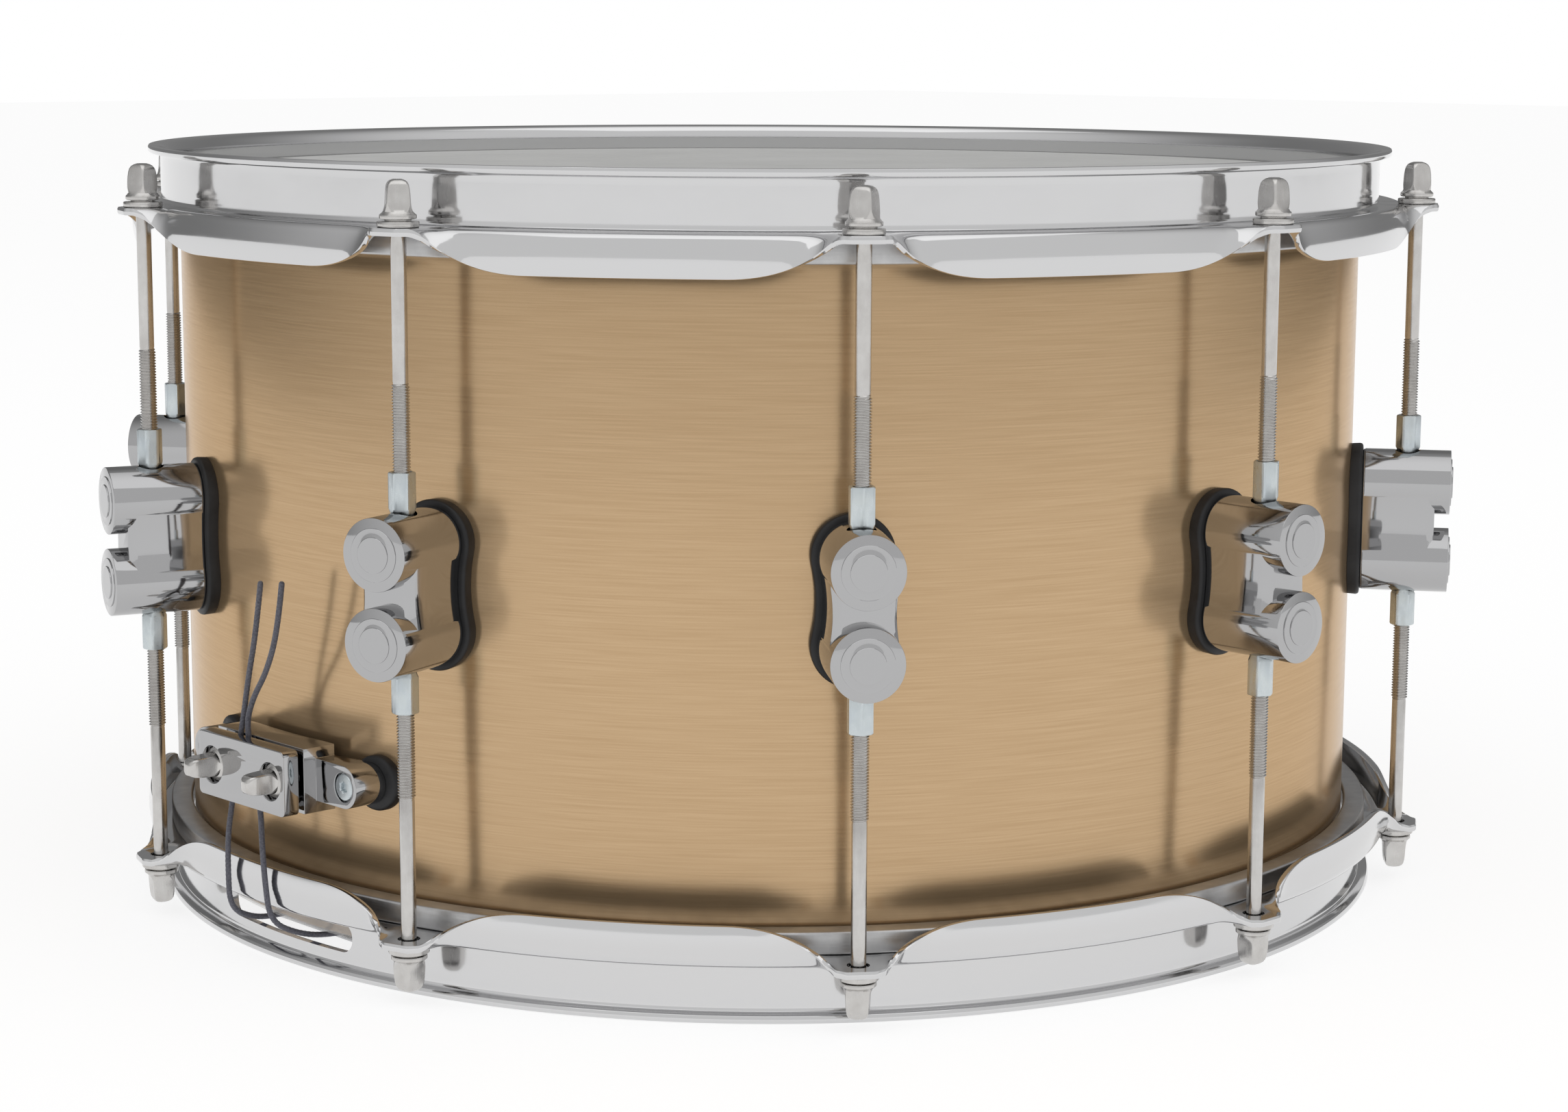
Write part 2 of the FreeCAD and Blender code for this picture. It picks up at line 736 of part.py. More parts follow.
def clamp_plate(side, back, height, label):
    """The plate that traps the cords, with two counterbored holes and broken corners."""
    low_x = back if side > 0 else f"-( {back} ) - plate_depth"
    slab = box(f"{label}_slab", "plate_depth", "plate_width", "plate_height",
               (low_x, "-plate_width / 2", f"{height} - plate_height / 2"))
    tools = []
    front = side * size(f"{back} + plate_depth")
    for across in (-1, 1):
        spot = across * size("clamp_spread")
        tag = f"{label}_{across}".replace("-", "m")
        tools.append(cylinder(f"{tag}_hole", "clamp_hole + 0.1", "10",
                              (front + side, spot, size(height)), (-side, 0, 0)))
        tools.append(cylinder(f"{tag}_counterbore", "counterbore", "counterbore_depth + 1",
                              (front + side, spot, size(height)), (-side, 0, 0)))
    holed = cut(f"{label}_holed", slab, tools)
    doc.recompute()
    rounded = doc.addObject("Part::Fillet", f"{label}_rounded")
    rounded.Base = holed
    reach = size("plate_width / 2 - 0.1")
    corners = []
    for number, edge in enumerate(holed.Shape.Edges, start=1):
        bounds = edge.BoundBox
        upright = bounds.YMin > reach or bounds.YMax < -reach
        if upright and bounds.XLength > 4:
            corners.append((number, 1.6, 1.6))
    rounded.Edges = corners
    keep(rounded, label)


def clamp_screw_shapes(side, back, height):
    """Drum-key screws: shank into the jaw, flange in the counterbore, square head outside."""
    seat = size(f"{back} + plate_depth - counterbore_depth")
    half = size("key_side") / 2
    length = size("key_length")
    flange = size("key_flange")
    reach = size("clamp_shank")
    screws = []
    for across in (-1, 1):
        spot = across * size("clamp_spread")
        outward = Vector(side, 0, 0)
        foot = Vector(side * (seat - reach), spot, height)
        shank = Part.makeCylinder(size("clamp_hole - 0.02"), reach, foot, outward)
        seat_place = Vector(side * seat, spot, height)
        collar = Part.makeCylinder(size("key_flange_radius"), flange, seat_place, outward)
        low = seat + flange if side > 0 else -seat - flange - length
        head = Part.makeBox(length, 2 * half, 2 * half, Vector(low, spot - half, height - half))
        dome = Part.makeCone(half * 1.5, half * 0.95, length, Vector(side * (seat + flange), spot, height),
                             outward)
        screws.append(shank.fuse([collar, head.common(dome)]))
    return screws


def make_butt():
    make_butt_base()
    clamp_plate(-1, "butt_front + cord_gap", "butt_height", "butt_clamp_plate")
    group("butt_clamp_screws", clamp_screw_shapes(-1, "butt_front + cord_gap", size("butt_height")))


def make_bracket_screws():
    """Screws from outside through the bosses, pads and shell, each with a nut inside."""
    seat = size("boss_face - boss_sink + 0.05")
    tip = size("boss_face - bracket_screw_length")
    screws = []
    for side, height in bracket_heights():
        for across in (-1, 1):
            spot = across * size("boss_spread")
            outward = Vector(side, 0, 0)
            head = Part.makeCylinder(size("bracket_head_radius"), size("bracket_head_height"),
                                     Vector(side * seat, spot, height), outward)
            shank = Part.makeCylinder(size("screw_radius"), seat - tip + 0.35,
                                      Vector(side * tip, spot, height), outward)
            nut = Part.makeCylinder(size("bracket_nut_radius"), size("bracket_nut_height"),
                                    Vector(side * (tip + 1), spot, height), outward)
            screws.append(head.fuse([shank, nut]))
    group("bracket_screws", screws)


# ---- strainer

def make_strainer_base():
    """Back plate with boss arms and two cheeks that guide the carriage and hold the lever."""
    back = box("frame_plate", "frame_front - frame_back", "2 * cheek_outer", "frame_high - frame_low",
               ("frame_back", "-cheek_outer", "frame_low"))
    pieces = [back] + bracket_foot(1, "strainer_height", "strainer")
    wide = "cheek_outer - cheek_inner"
    for side in (-1, 1):
        tag = "left" if side < 0 else "right"
        start = "-cheek_outer" if side < 0 else "cheek_inner"
        pieces.append(box(f"low_cheek_{tag}", "low_cheek_reach - frame_front", wide,
                          "frame_high - low_cheek_foot", ("frame_front", start, "low_cheek_foot")))
        pieces.append(box(f"high_cheek_{tag}", "high_cheek_reach - frame_front", wide,
                          "frame_high - high_cheek_foot", ("frame_front", start, "high_cheek_foot")))
    tools = foot_drills(1, "strainer_height", "strainer_foot")
    tools.append(box("carriage_way", "10", "2 * cheek_inner", "frame_high - frame_low + 2",
                     ("frame_front", "-cheek_inner", "frame_low - 1")))
    tools.append(cylinder("lever_pin_bore", "pivot_radius", "60",
                          (size("pivot_out"), -30, size("pivot_high")), (0, 1, 0)))
    solid = fuse("strainer_solid", pieces)
    keep(cut("strainer_casting", solid, tools), "strainer_base")


def make_lever():
    """Two hub discs with a crank pin between them, joined above by the thumb lever."""
    out = size("pivot_out")
    high = size("pivot_high")
    width = "cheek_inner - slide_clear - hub_inner"
    pieces = []
    for side in (-1, 1):
        tag = "left" if side < 0 else "right"
        hub_place = (out, side * size("hub_inner"), high)
        pieces.append(cylinder(f"hub_{tag}", "hub_radius", width, hub_place, (0, side, 0)))
        start = "hub_inner" if side > 0 else "slide_clear - cheek_inner"
        corner = ("pivot_out - arm_depth / 2", start, "pivot_high + 4")
        pieces.append(box(f"lever_arm_{tag}", "arm_depth", width, "16", corner))
    throw = size("crank_throw") * math.sqrt(0.5)
    pieces.append(cylinder("crank_pin", "crank_radius", "10", (out + throw, -5, high + throw), (0, 1, 0)))
    handle = extruded_body("lever_handle", [
        ("pivot_out - 5", "pivot_high + 13"),
        ("pivot_out + 5", "pivot_high + 13"),
        ("pivot_out + 7", "pivot_high + 34"),
        ("pivot_out + 13", "pivot_high + 58"),
        ("pivot_out + 9", "pivot_high + 60"),
        ("pivot_out + 1", "pivot_high + 36"),
        ("pivot_out - 3", "pivot_high + 22"),
    ], "XZ_Plane", "2 * cheek_inner - 2 * slide_clear")
    pieces.append(handle)
    bores = []
    for side in (-1, 1):
        tag = "left" if side < 0 else "right"
        bores.append(cylinder(f"hub_bore_{tag}", "pivot_radius + 0.05", "5.5",
                              (out, side * 9.0, high), (0, side, 0)))
    keep(cut("lever_solid", fuse("lever_rough", pieces), bores), "strainer_lever")


def make_lever_pivots():
    """Shoulder screws through the cheeks into the hub discs."""
    out = size("pivot_out")
    high = size("pivot_high")
    outer = size("cheek_outer")
    screws = []
    for side in (-1, 1):
        shank = Part.makeCylinder(size("pivot_radius"), outer - 9.4, Vector(out, side * 9.4, high),
                                  Vector(0, side, 0))
        head = Part.makeCylinder(4.2, 1.6, Vector(out, side * outer, high), Vector(0, side, 0))
        screws.append(shank.fuse(head))
    group("lever_pivots", screws)


def make_carriage():
    """A C-shaped slide with a slotted tongue that the lever's crank pin lifts."""
    wide = "2 * cheek_inner - 2 * slide_clear"
    start = "slide_clear - cheek_inner"
    rib = "frame_front + 2"
    tongue = "2 * tongue_half"
    pieces = [
        box("carriage_back", "slide_back", wide, "bridge_low - frame_low + slide_bridge",
            ("frame_front + 0.3", start, "frame_low")),
        box("carriage_sill", "slide_rib", wide, "slide_sill", (rib, start, "frame_low")),
        box("carriage_bridge", "slide_rib", wide, "slide_bridge", (rib, start, "bridge_low")),
        box("carriage_tongue", "12.5", tongue, "18", ("pivot_out - 4", "-tongue_half", "pivot_high - 11")),
        box("tongue_neck", "18", tongue, "5", ("pivot_out - 9.5", "-tongue_half", "bridge_low")),
    ]
    throw = size("crank_throw") * math.sqrt(0.5)
    reach = size("crank_throw") - throw
    slot_radius = "crank_radius + 0.3"
    centre_out = size("pivot_out") + throw
    centre_high = size("pivot_high") + throw
    slot = [
        cylinder("slot_inner_end", slot_radius, "10", (centre_out, -5, centre_high), (0, 1, 0)),
        cylinder("slot_outer_end", slot_radius, "10", (centre_out + reach, -5, centre_high), (0, 1, 0)),
        box("slot_middle", f"{reach}", "10", f"2 * ( {slot_radius} )",
            (f"{centre_out}", "-5", f"{centre_high} - crank_radius - 0.3")),
        cylinder("adjuster_bore", "adjuster_radius + 0.05", "60", (size("adjuster_out"), 0, 20)),
    ]
    keep(cut("carriage_slide", fuse("carriage_solid", pieces), slot), "strainer_carriage")


def make_clamp_block():
    """The block that the tension knob raises, with a wide jaw in front for the cords."""
    wide = "2 * cheek_inner - 2 * slide_clear"
    start = "slide_clear - cheek_inner"
    body = box("clamp_body", "jaw_front - frame_front - clamp_back", wide, "plate_height - 2",
               ("frame_front + clamp_back", start, "jaw_low + 1"))
    jaw = box("clamp_jaw", "jaw_depth", "plate_width", "plate_height",
              ("jaw_front - jaw_depth", "-plate_width / 2", "jaw_low"))
    tools = [cylinder("clamp_thread", "adjuster_radius + 0.05", "40", (size("adjuster_out"), 0, 40))]
    for across in (-1, 1):
        base = (size("jaw_front + 1"), across * size("clamp_spread"), size("jaw_low + plate_height / 2"))
        tag = f"jaw_tap_{across}".replace("-", "m")
        tools.append(cylinder(tag, "clamp_hole", "7", base, (-1, 0, 0)))
    keep(cut("clamp_block_cut", fuse("clamp_block_solid", [body, jaw]), tools), "strainer_clamp_block")


def make_tension_knob():
    """Fluted knob below the carriage and the adjusting screw that it turns."""
    out = size("adjuster_out")
    low = size("knob_low")
    disc = cylinder("knob_disc", "knob_radius", "knob_height", (out, 0, low))
    screw = cylinder("adjuster_screw", "adjuster_radius", "adjuster_length", (out, 0, low + 1))
    flutes = []
    for number in range(12):
        angle = math.radians(30 * number)
        base = (out + size("knob_radius + 0.5") * math.cos(angle),
                size("knob_radius + 0.5") * math.sin(angle), low - 1)
        flutes.append(cylinder(f"knob_flute_{number}", "1", "knob_height + 2", base))
    grip = cut("knob_grip", disc, flutes)
    keep(fuse("knob_and_screw", [grip, screw]), "tension_knob")


def make_strainer():
    make_strainer_base()
    make_lever()
    make_lever_pivots()
    make_carriage()
    make_clamp_block()
    jaw_middle = "jaw_low + plate_height / 2"
    clamp_plate(1, "jaw_front + cord_gap", jaw_middle, "strainer_clamp_plate")
    screws = clamp_screw_shapes(1, "jaw_front + cord_gap", size(jaw_middle))
    group("strainer_clamp_screws", screws)
    make_tension_knob()


# ---- snare wires and cords

def make_snare_wires():
    """Twenty coiled wires, as rods of the coils' outer size, over two end plates."""
    count = int(size("wire_count"))
    half = size("wire_half_length")
    coils = []
    for number in range(count):
        across = (number - (count - 1) / 2) * size("wire_pitch")
        coils.append(Part.makeCylinder(size("wire_radius"), 2 * half,
                                       Vector(-half, across, size("wire_height")), Vector(1, 0, 0)))
    group("snare_wires", coils)
    inner = size("end_plate_inner")
    outer = size("end_plate_outer")
    gauge = size("end_plate_gauge")
    width = size("end_plate_width")
    top = size("wire_height - wire_radius")
    plates = []
    for side in (-1, 1):
        low = inner if side > 0 else -outer
        plates.append(Part.makeBox(outer - inner, width, gauge, Vector(low, -width / 2, top - gauge)))
    group("snare_end_plates", plates)


def corner_arc(before, corner, after):
    """The tangent arc at a corner of a cord's route: start, middle, end and radius."""
    back = (before - corner).normalize()
    ahead = (after - corner).normalize()
    turn = math.pi - back.getAngle(ahead)
    shorter = min((before - corner).Length, (after - corner).Length)
    radius = 0.45 * shorter / math.tan(turn / 2)
    trim = 0.45 * shorter
    inward = (back + ahead).normalize()
    middle = corner + inward * (radius / math.cos(turn / 2) - radius)
    return corner + back * trim, middle, corner + ahead * trim, radius


def make_cord(label, route):
    """A round cord: straight runs joined by tangent arcs."""
    points = [Vector(*point) for point in route]
    edges = []
    radii = []
    at = points[0]
    for before, corner, after in zip(points, points[1:], points[2:]):
        start, middle, end, radius = corner_arc(before, corner, after)
        edges.append(Part.LineSegment(at, start).toShape())
        edges.append(Part.Arc(start, middle, end).toShape())
        radii.append(radius)
        at = end
    edges.append(Part.LineSegment(at, points[-1]).toShape())
    path = Part.Wire(edges)
    radius = size("cord_radius")
    ring = Part.Wire(Part.makeCircle(radius, points[0], points[1] - points[0]))
    obj = doc.addObject("Part::Feature", label)
    obj.Shape = path.makePipeShell([ring], True, False)
    keep(obj, label)
    expected = math.pi * radius ** 2 * path.Length
    print(label, "length", round(path.Length, 1), "radii", [round(each, 1) for each in radii],
          "volume ratio", round(obj.Shape.Volume / expected, 4))


def make_cords():
    make_cord("butt_cord_left", BUTT_CORD_LEFT)
    make_cord("butt_cord_right", BUTT_CORD_RIGHT)
    make_cord("strainer_cord_left", STRAINER_CORD_NEAR)
    make_cord("strainer_cord_right", [(x, -y, z) for x, y, z in STRAINER_CORD_NEAR])


def check_and_write():
    doc.recompute()
    for obj in doc.Objects:
        if "Invalid" in obj.State or "Error" in obj.State:
            raise SystemExit(f"{obj.Label} failed: {obj.State}")
    os.makedirs("parts", exist_ok=True)
    for obj in parts:
        shape = obj.Shape
        if shape.isNull() or not shape.isValid() or not shape.Solids:
            raise SystemExit(f"{obj.Label} has no valid solid")
    for obj in parts:
        obj.Shape.exportStep(os.path.join("parts", f"{obj.Label}.step"))
    print(len(parts), "sub-parts written")


fill_sheet()
make_shell()
make_vent_grommet()
make_heads()
make_hoops()
make_lugs()
make_gaskets()
make_tube_nuts()
make_washers()
make_tension_rods()
make_lug_screws()
make_butt()
make_bracket_screws()
make_strainer()
make_snare_wires()
make_cords()
check_and_write()
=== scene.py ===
import json
import math

import bmesh
import bpy
from mathutils import Matrix, Vector

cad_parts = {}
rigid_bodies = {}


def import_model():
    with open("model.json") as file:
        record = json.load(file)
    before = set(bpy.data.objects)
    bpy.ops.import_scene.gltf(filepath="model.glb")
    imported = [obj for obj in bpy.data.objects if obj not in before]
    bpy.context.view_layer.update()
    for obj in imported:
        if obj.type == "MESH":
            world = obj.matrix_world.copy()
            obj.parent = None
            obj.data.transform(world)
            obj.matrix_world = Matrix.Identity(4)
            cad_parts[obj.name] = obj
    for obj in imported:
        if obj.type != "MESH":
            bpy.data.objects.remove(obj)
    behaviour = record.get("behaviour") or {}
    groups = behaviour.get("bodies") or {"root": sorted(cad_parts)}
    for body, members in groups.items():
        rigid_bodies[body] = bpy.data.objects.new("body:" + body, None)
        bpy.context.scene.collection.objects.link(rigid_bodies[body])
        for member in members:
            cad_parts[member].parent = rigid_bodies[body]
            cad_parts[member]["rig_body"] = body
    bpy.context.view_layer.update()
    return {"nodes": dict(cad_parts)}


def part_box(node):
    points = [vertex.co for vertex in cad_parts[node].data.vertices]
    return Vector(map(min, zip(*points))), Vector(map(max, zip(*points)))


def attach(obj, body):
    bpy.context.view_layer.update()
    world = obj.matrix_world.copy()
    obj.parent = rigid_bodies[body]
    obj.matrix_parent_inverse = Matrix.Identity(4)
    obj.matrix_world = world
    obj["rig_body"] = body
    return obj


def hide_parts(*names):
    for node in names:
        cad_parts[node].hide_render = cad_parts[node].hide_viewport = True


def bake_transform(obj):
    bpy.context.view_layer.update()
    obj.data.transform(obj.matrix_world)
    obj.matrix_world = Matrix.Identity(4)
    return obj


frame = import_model()
NODES = frame["nodes"]
MM = 0.001


# ---- places taken from the frame, in millimetres

def node_box(name):
    """Lowest and highest corner of a CAD node in millimetres."""
    low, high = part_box(name)
    return low / MM, high / MM


def node_middle(name):
    low, high = node_box(name)
    return (low + high) / 2


SHELL_LOW, SHELL_HIGH = node_box("shell")
SHELL_RADIUS = SHELL_HIGH.x
TOP_RIM = node_box("top_hoop")[1].z
MIDDLE = TOP_RIM / 2
LUG_COUNT = 10
LUG_ANGLES = []
for lug_number in range(1, LUG_COUNT + 1):
    lug_centre = node_middle(f"lug_{lug_number:02d}")
    LUG_ANGLES.append(math.atan2(lug_centre.y, lug_centre.x))
ROD_CENTRE = node_middle("snare_rod_01")
ROD_CIRCLE = math.hypot(ROD_CENTRE.x, ROD_CENTRE.y)


# ---- camera

def make_camera():
    """The view of the photograph: a long lens a little above the drum, seven degrees off lug 7."""
    turn = Matrix.Rotation(math.radians(-42.853), 3, "Z")
    yaw, pitch, roll = math.radians(0.267), math.radians(9.295), math.radians(0.228)
    forward = Vector((math.sin(yaw) * math.cos(pitch), math.cos(yaw) * math.cos(pitch), -math.sin(pitch)))
    level = Vector((math.cos(yaw), -math.sin(yaw), 0))
    above = level.cross(forward)
    right = level * math.cos(roll) + above * math.sin(roll)
    up = above * math.cos(roll) - level * math.sin(roll)
    axes = Matrix((turn @ right, turn @ up, turn @ -forward)).transposed()
    data = bpy.data.cameras.new("photo_camera")
    data.lens = 74.0
    data.sensor_width = 36.0
    data.clip_start = 0.01
    data.clip_end = 60
    camera = bpy.data.objects.new("photo_camera", data)
    bpy.context.scene.collection.objects.link(camera)
    camera.matrix_world = Matrix.Translation((-0.6744, -0.7269, 0.2548)) @ axes.to_4x4()
    bpy.context.scene.camera = camera


# ---- materials

class Shader:
    """A Principled material and short ways to add nodes to it."""

    def __init__(self, name, colour, metallic, roughness, **sockets):
        self.material = bpy.data.materials.new(name)
        self.material.use_nodes = True
        self.tree = self.material.node_tree
        self.surface = self.tree.nodes["Principled BSDF"]
        self.surface.inputs["Base Color"].default_value = (*colour, 1)
        self.surface.inputs["Metallic"].default_value = metallic
        self.surface.inputs["Roughness"].default_value = roughness
        for socket, value in sockets.items():
            self.surface.inputs[socket.replace("_", " ")].default_value = value
        self.place = self.tree.nodes.new("ShaderNodeTexCoord").outputs["Object"]

    def link(self, source, target):
        self.tree.links.new(source, target)

    def stretched(self, scale):
        node = self.tree.nodes.new("ShaderNodeMapping")
        node.inputs["Scale"].default_value = scale
        self.link(self.place, node.inputs["Vector"])
        return node.outputs["Vector"]

    def noise(self, scale, detail=3.0, roughness=0.55, distortion=0.0):
        node = self.tree.nodes.new("ShaderNodeTexNoise")
        node.inputs["Scale"].default_value = 1.0
        node.inputs["Detail"].default_value = detail
        node.inputs["Roughness"].default_value = roughness
        node.inputs["Distortion"].default_value = distortion
        self.link(self.stretched(scale), node.inputs["Vector"])
        return node.outputs["Fac"]

    def ramp(self, source, low, high, start=0.3, end=0.7):
        """Maps a 0 to 1 pattern to a value between low and high."""
        node = self.tree.nodes.new("ShaderNodeMapRange")
        node.inputs["From Min"].default_value = start
        node.inputs["From Max"].default_value = end
        node.inputs["To Min"].default_value = low
        node.inputs["To Max"].default_value = high
        self.link(source, node.inputs["Value"])
        return node.outputs["Result"]

    def rough(self, source, low, high):
        self.link(self.ramp(source, low, high), self.surface.inputs["Roughness"])

    def blend_colours(self, source, first, second, start=0.3, end=0.7):
        node = self.tree.nodes.new("ShaderNodeMix")
        node.data_type = "RGBA"
        colours = [socket for socket in node.inputs if socket.type == "RGBA"]
        colours[0].default_value = (*first, 1)
        colours[1].default_value = (*second, 1)
        self.link(self.ramp(source, 0, 1, start, end), node.inputs["Factor"])
        out = [socket for socket in node.outputs if socket.type == "RGBA"][0]
        self.link(out, self.surface.inputs["Base Color"])
        return out

    def bump(self, source, distance, strength=1.0):
        node = self.tree.nodes.new("ShaderNodeBump")
        node.inputs["Distance"].default_value = distance
        node.inputs["Strength"].default_value = strength
        self.link(source, node.inputs["Height"])
        if self.surface.inputs["Normal"].is_linked:
            self.link(self.surface.inputs["Normal"].links[0].from_socket, node.inputs["Normal"])
        self.link(node.outputs["Normal"], self.surface.inputs["Normal"])


def make_bronze():
    shader = Shader("brushed_bronze", (0.53, 0.375, 0.225), 0.78, 0.2,
                    Anisotropic=0.5, Anisotropic_Rotation=0.25, Specular_Tint=(0.86, 0.74, 0.6, 1))
    tangent = shader.tree.nodes.new("ShaderNodeTangent")
    tangent.direction_type = "RADIAL"
    tangent.axis = "Z"
    shader.link(tangent.outputs["Tangent"], shader.surface.inputs["Tangent"])
    fine = shader.noise((55, 55, 7000), detail=2.0, roughness=0.7)
    broad = shader.noise((38, 38, 2600), detail=3.0)
    shader.blend_colours(broad, (0.50, 0.342, 0.192), (0.57, 0.402, 0.236))
    shader.rough(fine, 0.18, 0.24)
    shader.bump(fine, 0.000004, 0.4)
    return shader.material


def make_chrome(name, colour, low, high, wave=0.00003):
    shader = Shader(name, colour, 1.0, low)
    smears = shader.noise((45, 45, 90), detail=4.0)
    shader.rough(smears, low, high)
    ripple = shader.noise((28, 28, 34), detail=1.0)
    shader.bump(ripple, wave, 0.8)
    return shader.material


def make_grained_metal(name, light, dark, grain, low, high, depth=0.00001):
    """Nickel, zinc or aluminium: cloudy colour, a fine grain and uneven gloss."""
    shader = Shader(name, light, 1.0, low)
    clouds = shader.noise((210, 210, 160), detail=4.0)
    shader.blend_colours(clouds, light, dark)
    lines = shader.noise(grain, detail=2.0, roughness=0.7)
    shader.rough(lines, low, high)
    shader.bump(lines, depth, 0.7)
    return shader.material


def make_rubber():
    shader = Shader("black_rubber", (0.012, 0.012, 0.013), 0.0, 0.5, Specular_IOR_Level=0.4)
    shader.blend_colours(shader.noise((300, 300, 300)), (0.005, 0.005, 0.006), (0.013, 0.013, 0.014))
    shader.rough(shader.noise((150, 150, 150)), 0.38, 0.62)
    shader.bump(shader.noise((2600, 2600, 2600), detail=2.0), 0.00003, 0.6)
    return shader.material


def make_coated_film():
    shader = Shader("coated_film", (0.74, 0.74, 0.725), 0.0, 0.55)
    shader.blend_colours(shader.noise((30, 30, 30), detail=5.0), (0.56, 0.56, 0.548), (0.62, 0.62, 0.608))
    shader.rough(shader.noise((400, 400, 400)), 0.45, 0.7)
    shader.bump(shader.noise((2300, 2300, 2300), detail=3.0), 0.00004, 0.8)
    return shader.material


def make_clear_film():
    shader = Shader("clear_film", (0.86, 0.88, 0.89), 0.0, 0.08, Alpha=0.24)
    shader.rough(shader.noise((25, 25, 25), detail=4.0), 0.05, 0.16)
    shader.bump(shader.noise((18, 18, 18), detail=1.0), 0.00005, 0.5)
    return shader.material


def make_braid():
    shader = Shader("braided_cord", (0.085, 0.085, 0.105), 0.0, 0.72,
                    Sheen_Weight=0.25, Sheen_Roughness=0.4)
    shader.blend_colours(shader.noise((2200, 2200, 2200), detail=3.0), (0.05, 0.05, 0.066), (0.135, 0.135, 0.16))
    shader.bump(shader.noise((6500, 6500, 6500), detail=2.0), 0.00003, 0.8)
    return shader.material


BRONZE = make_bronze()
HOOP_CHROME = make_chrome("hoop_chrome", (0.63, 0.63, 0.635), 0.07, 0.13)
CHROME = make_chrome("chrome_plate", (0.43, 0.43, 0.435), 0.035, 0.085, 0.000012)
ROD_STEEL = make_grained_metal("rod_steel", (0.60, 0.59, 0.575),
                               (0.50, 0.485, 0.47), (900, 900, 120), 0.16, 0.30)
ZINC = make_grained_metal("zinc_plate", (0.60, 0.645, 0.65),
                          (0.52, 0.57, 0.60), (700, 700, 260), 0.24, 0.42)
ALUMINIUM = make_grained_metal("aluminium", (0.56, 0.56, 0.56),
                               (0.46, 0.46, 0.465), (40, 40, 5200), 0.30, 0.48)
WIRE_STEEL = make_grained_metal("wire_steel", (0.58, 0.58, 0.59),
                                (0.44, 0.44, 0.45), (1500, 1500, 1500), 0.18, 0.34)
RUBBER = make_rubber()
COATED = make_coated_film()
CLEAR = make_clear_film()
BRAID = make_braid()


# ---- shapes: a shape is a list of points in millimetres and a list of faces

def moved(shape, matrix):
    points, faces = shape
    return [tuple(matrix @ Vector(point)) for point in points], faces


def joined(shapes):
    points, faces = [], []
    for more_points, more_faces in shapes:
        start = len(points)
        points.extend(more_points)
        faces.extend(tuple(index + start for index in face) for face in more_faces)
    return points, faces


def loft(loops, start_cap=False, end_cap=False):
    """Closed loops of equal length joined one after the other."""
    count = len(loops[0])
    points = [tuple(point) for loop in loops for point in loop]
    faces = []
    for row in range(len(loops) - 1):
        for column in range(count):
            following = (column + 1) % count
            faces.append((row * count + column, row * count + following,
                          (row + 1) * count + following, (row + 1) * count + column))
    if start_cap:
        faces.append(tuple(reversed(range(count))))
    if end_cap:
        last = (len(loops) - 1) * count
        faces.append(tuple(range(last, last + count)))
    return points, faces


def ring(radius, height, count):
    """A circle about Z."""
    return [(radius * math.cos(math.tau * step / count), radius * math.sin(math.tau * step / count), height)
            for step in range(count)]


def lathe(profile, count, closed=False, caps=(False, False)):
    """(radius, height) pairs turned about Z. A closed profile joins its last pair to its first."""
    pairs = list(profile) + ([profile[0]] if closed else [])
    points, faces = loft([ring(radius, height, count) for radius, height in pairs[:-1 if closed else None]],
                         *caps)
    if closed:
        last = (len(profile) - 1) * count
        for column in range(count):
            following = (column + 1) % count
            faces.append((last + column, last + following, following, column))
    return points, faces


def rounded_square(half, corner, height, steps=8):
    """A square with round corners about Z, from half its side and its corners' radius."""
    points = []
    for quarter in range(4):
        middle = math.pi / 4 + quarter * math.pi / 2
        centre_x = math.copysign(half - corner, math.cos(middle))
        centre_y = math.copysign(half - corner, math.sin(middle))
        for step in range(steps + 1):
            angle = quarter * math.pi / 2 + step * math.pi / 2 / steps
            points.append((centre_x + corner * math.cos(angle), centre_y + corner * math.sin(angle), height))
    return points


def make_object(name, shape, material, crease=35.0):
    points, faces = shape
    mesh = bpy.data.meshes.new(name)
    mesh.from_pydata([(x * MM, y * MM, z * MM) for x, y, z in points], [], faces)
    mesh.update()
    mesh.shade_smooth()
    mesh.set_sharp_from_angle(angle=math.radians(crease))
    mesh.materials.append(material)
    obj = bpy.data.objects.new(name, mesh)
    bpy.context.scene.collection.objects.link(obj)
    return obj


def facing_out(obj):
    """Turns every closed part's faces outwards."""
    work = bmesh.new()
    work.from_mesh(obj.data)
    bmesh.ops.recalc_face_normals(work, faces=work.faces)
    work.to_mesh(obj.data)
    work.free()
    return obj


def settle(obj, nodes, body=None):
    """Puts a finished piece on its nodes' body in their place."""
    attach(obj, body or NODES[nodes[0]]["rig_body"])
    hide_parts(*nodes)
    return obj


def piece(name, shape, material, nodes, crease=35.0):
    return settle(facing_out(make_object(name, shape, material, crease)), nodes)


def turned(angle):
    return Matrix.Rotation(angle, 4, "Z")


def shifted(x, y, z):
    return Matrix.Translation((x, y, z))


def upside_down():
    """The turn that takes a snare-side piece to the batter side."""
    return shifted(0, 0, TOP_RIM) @ Matrix.Rotation(math.pi, 4, "X")


# ---- snare cords

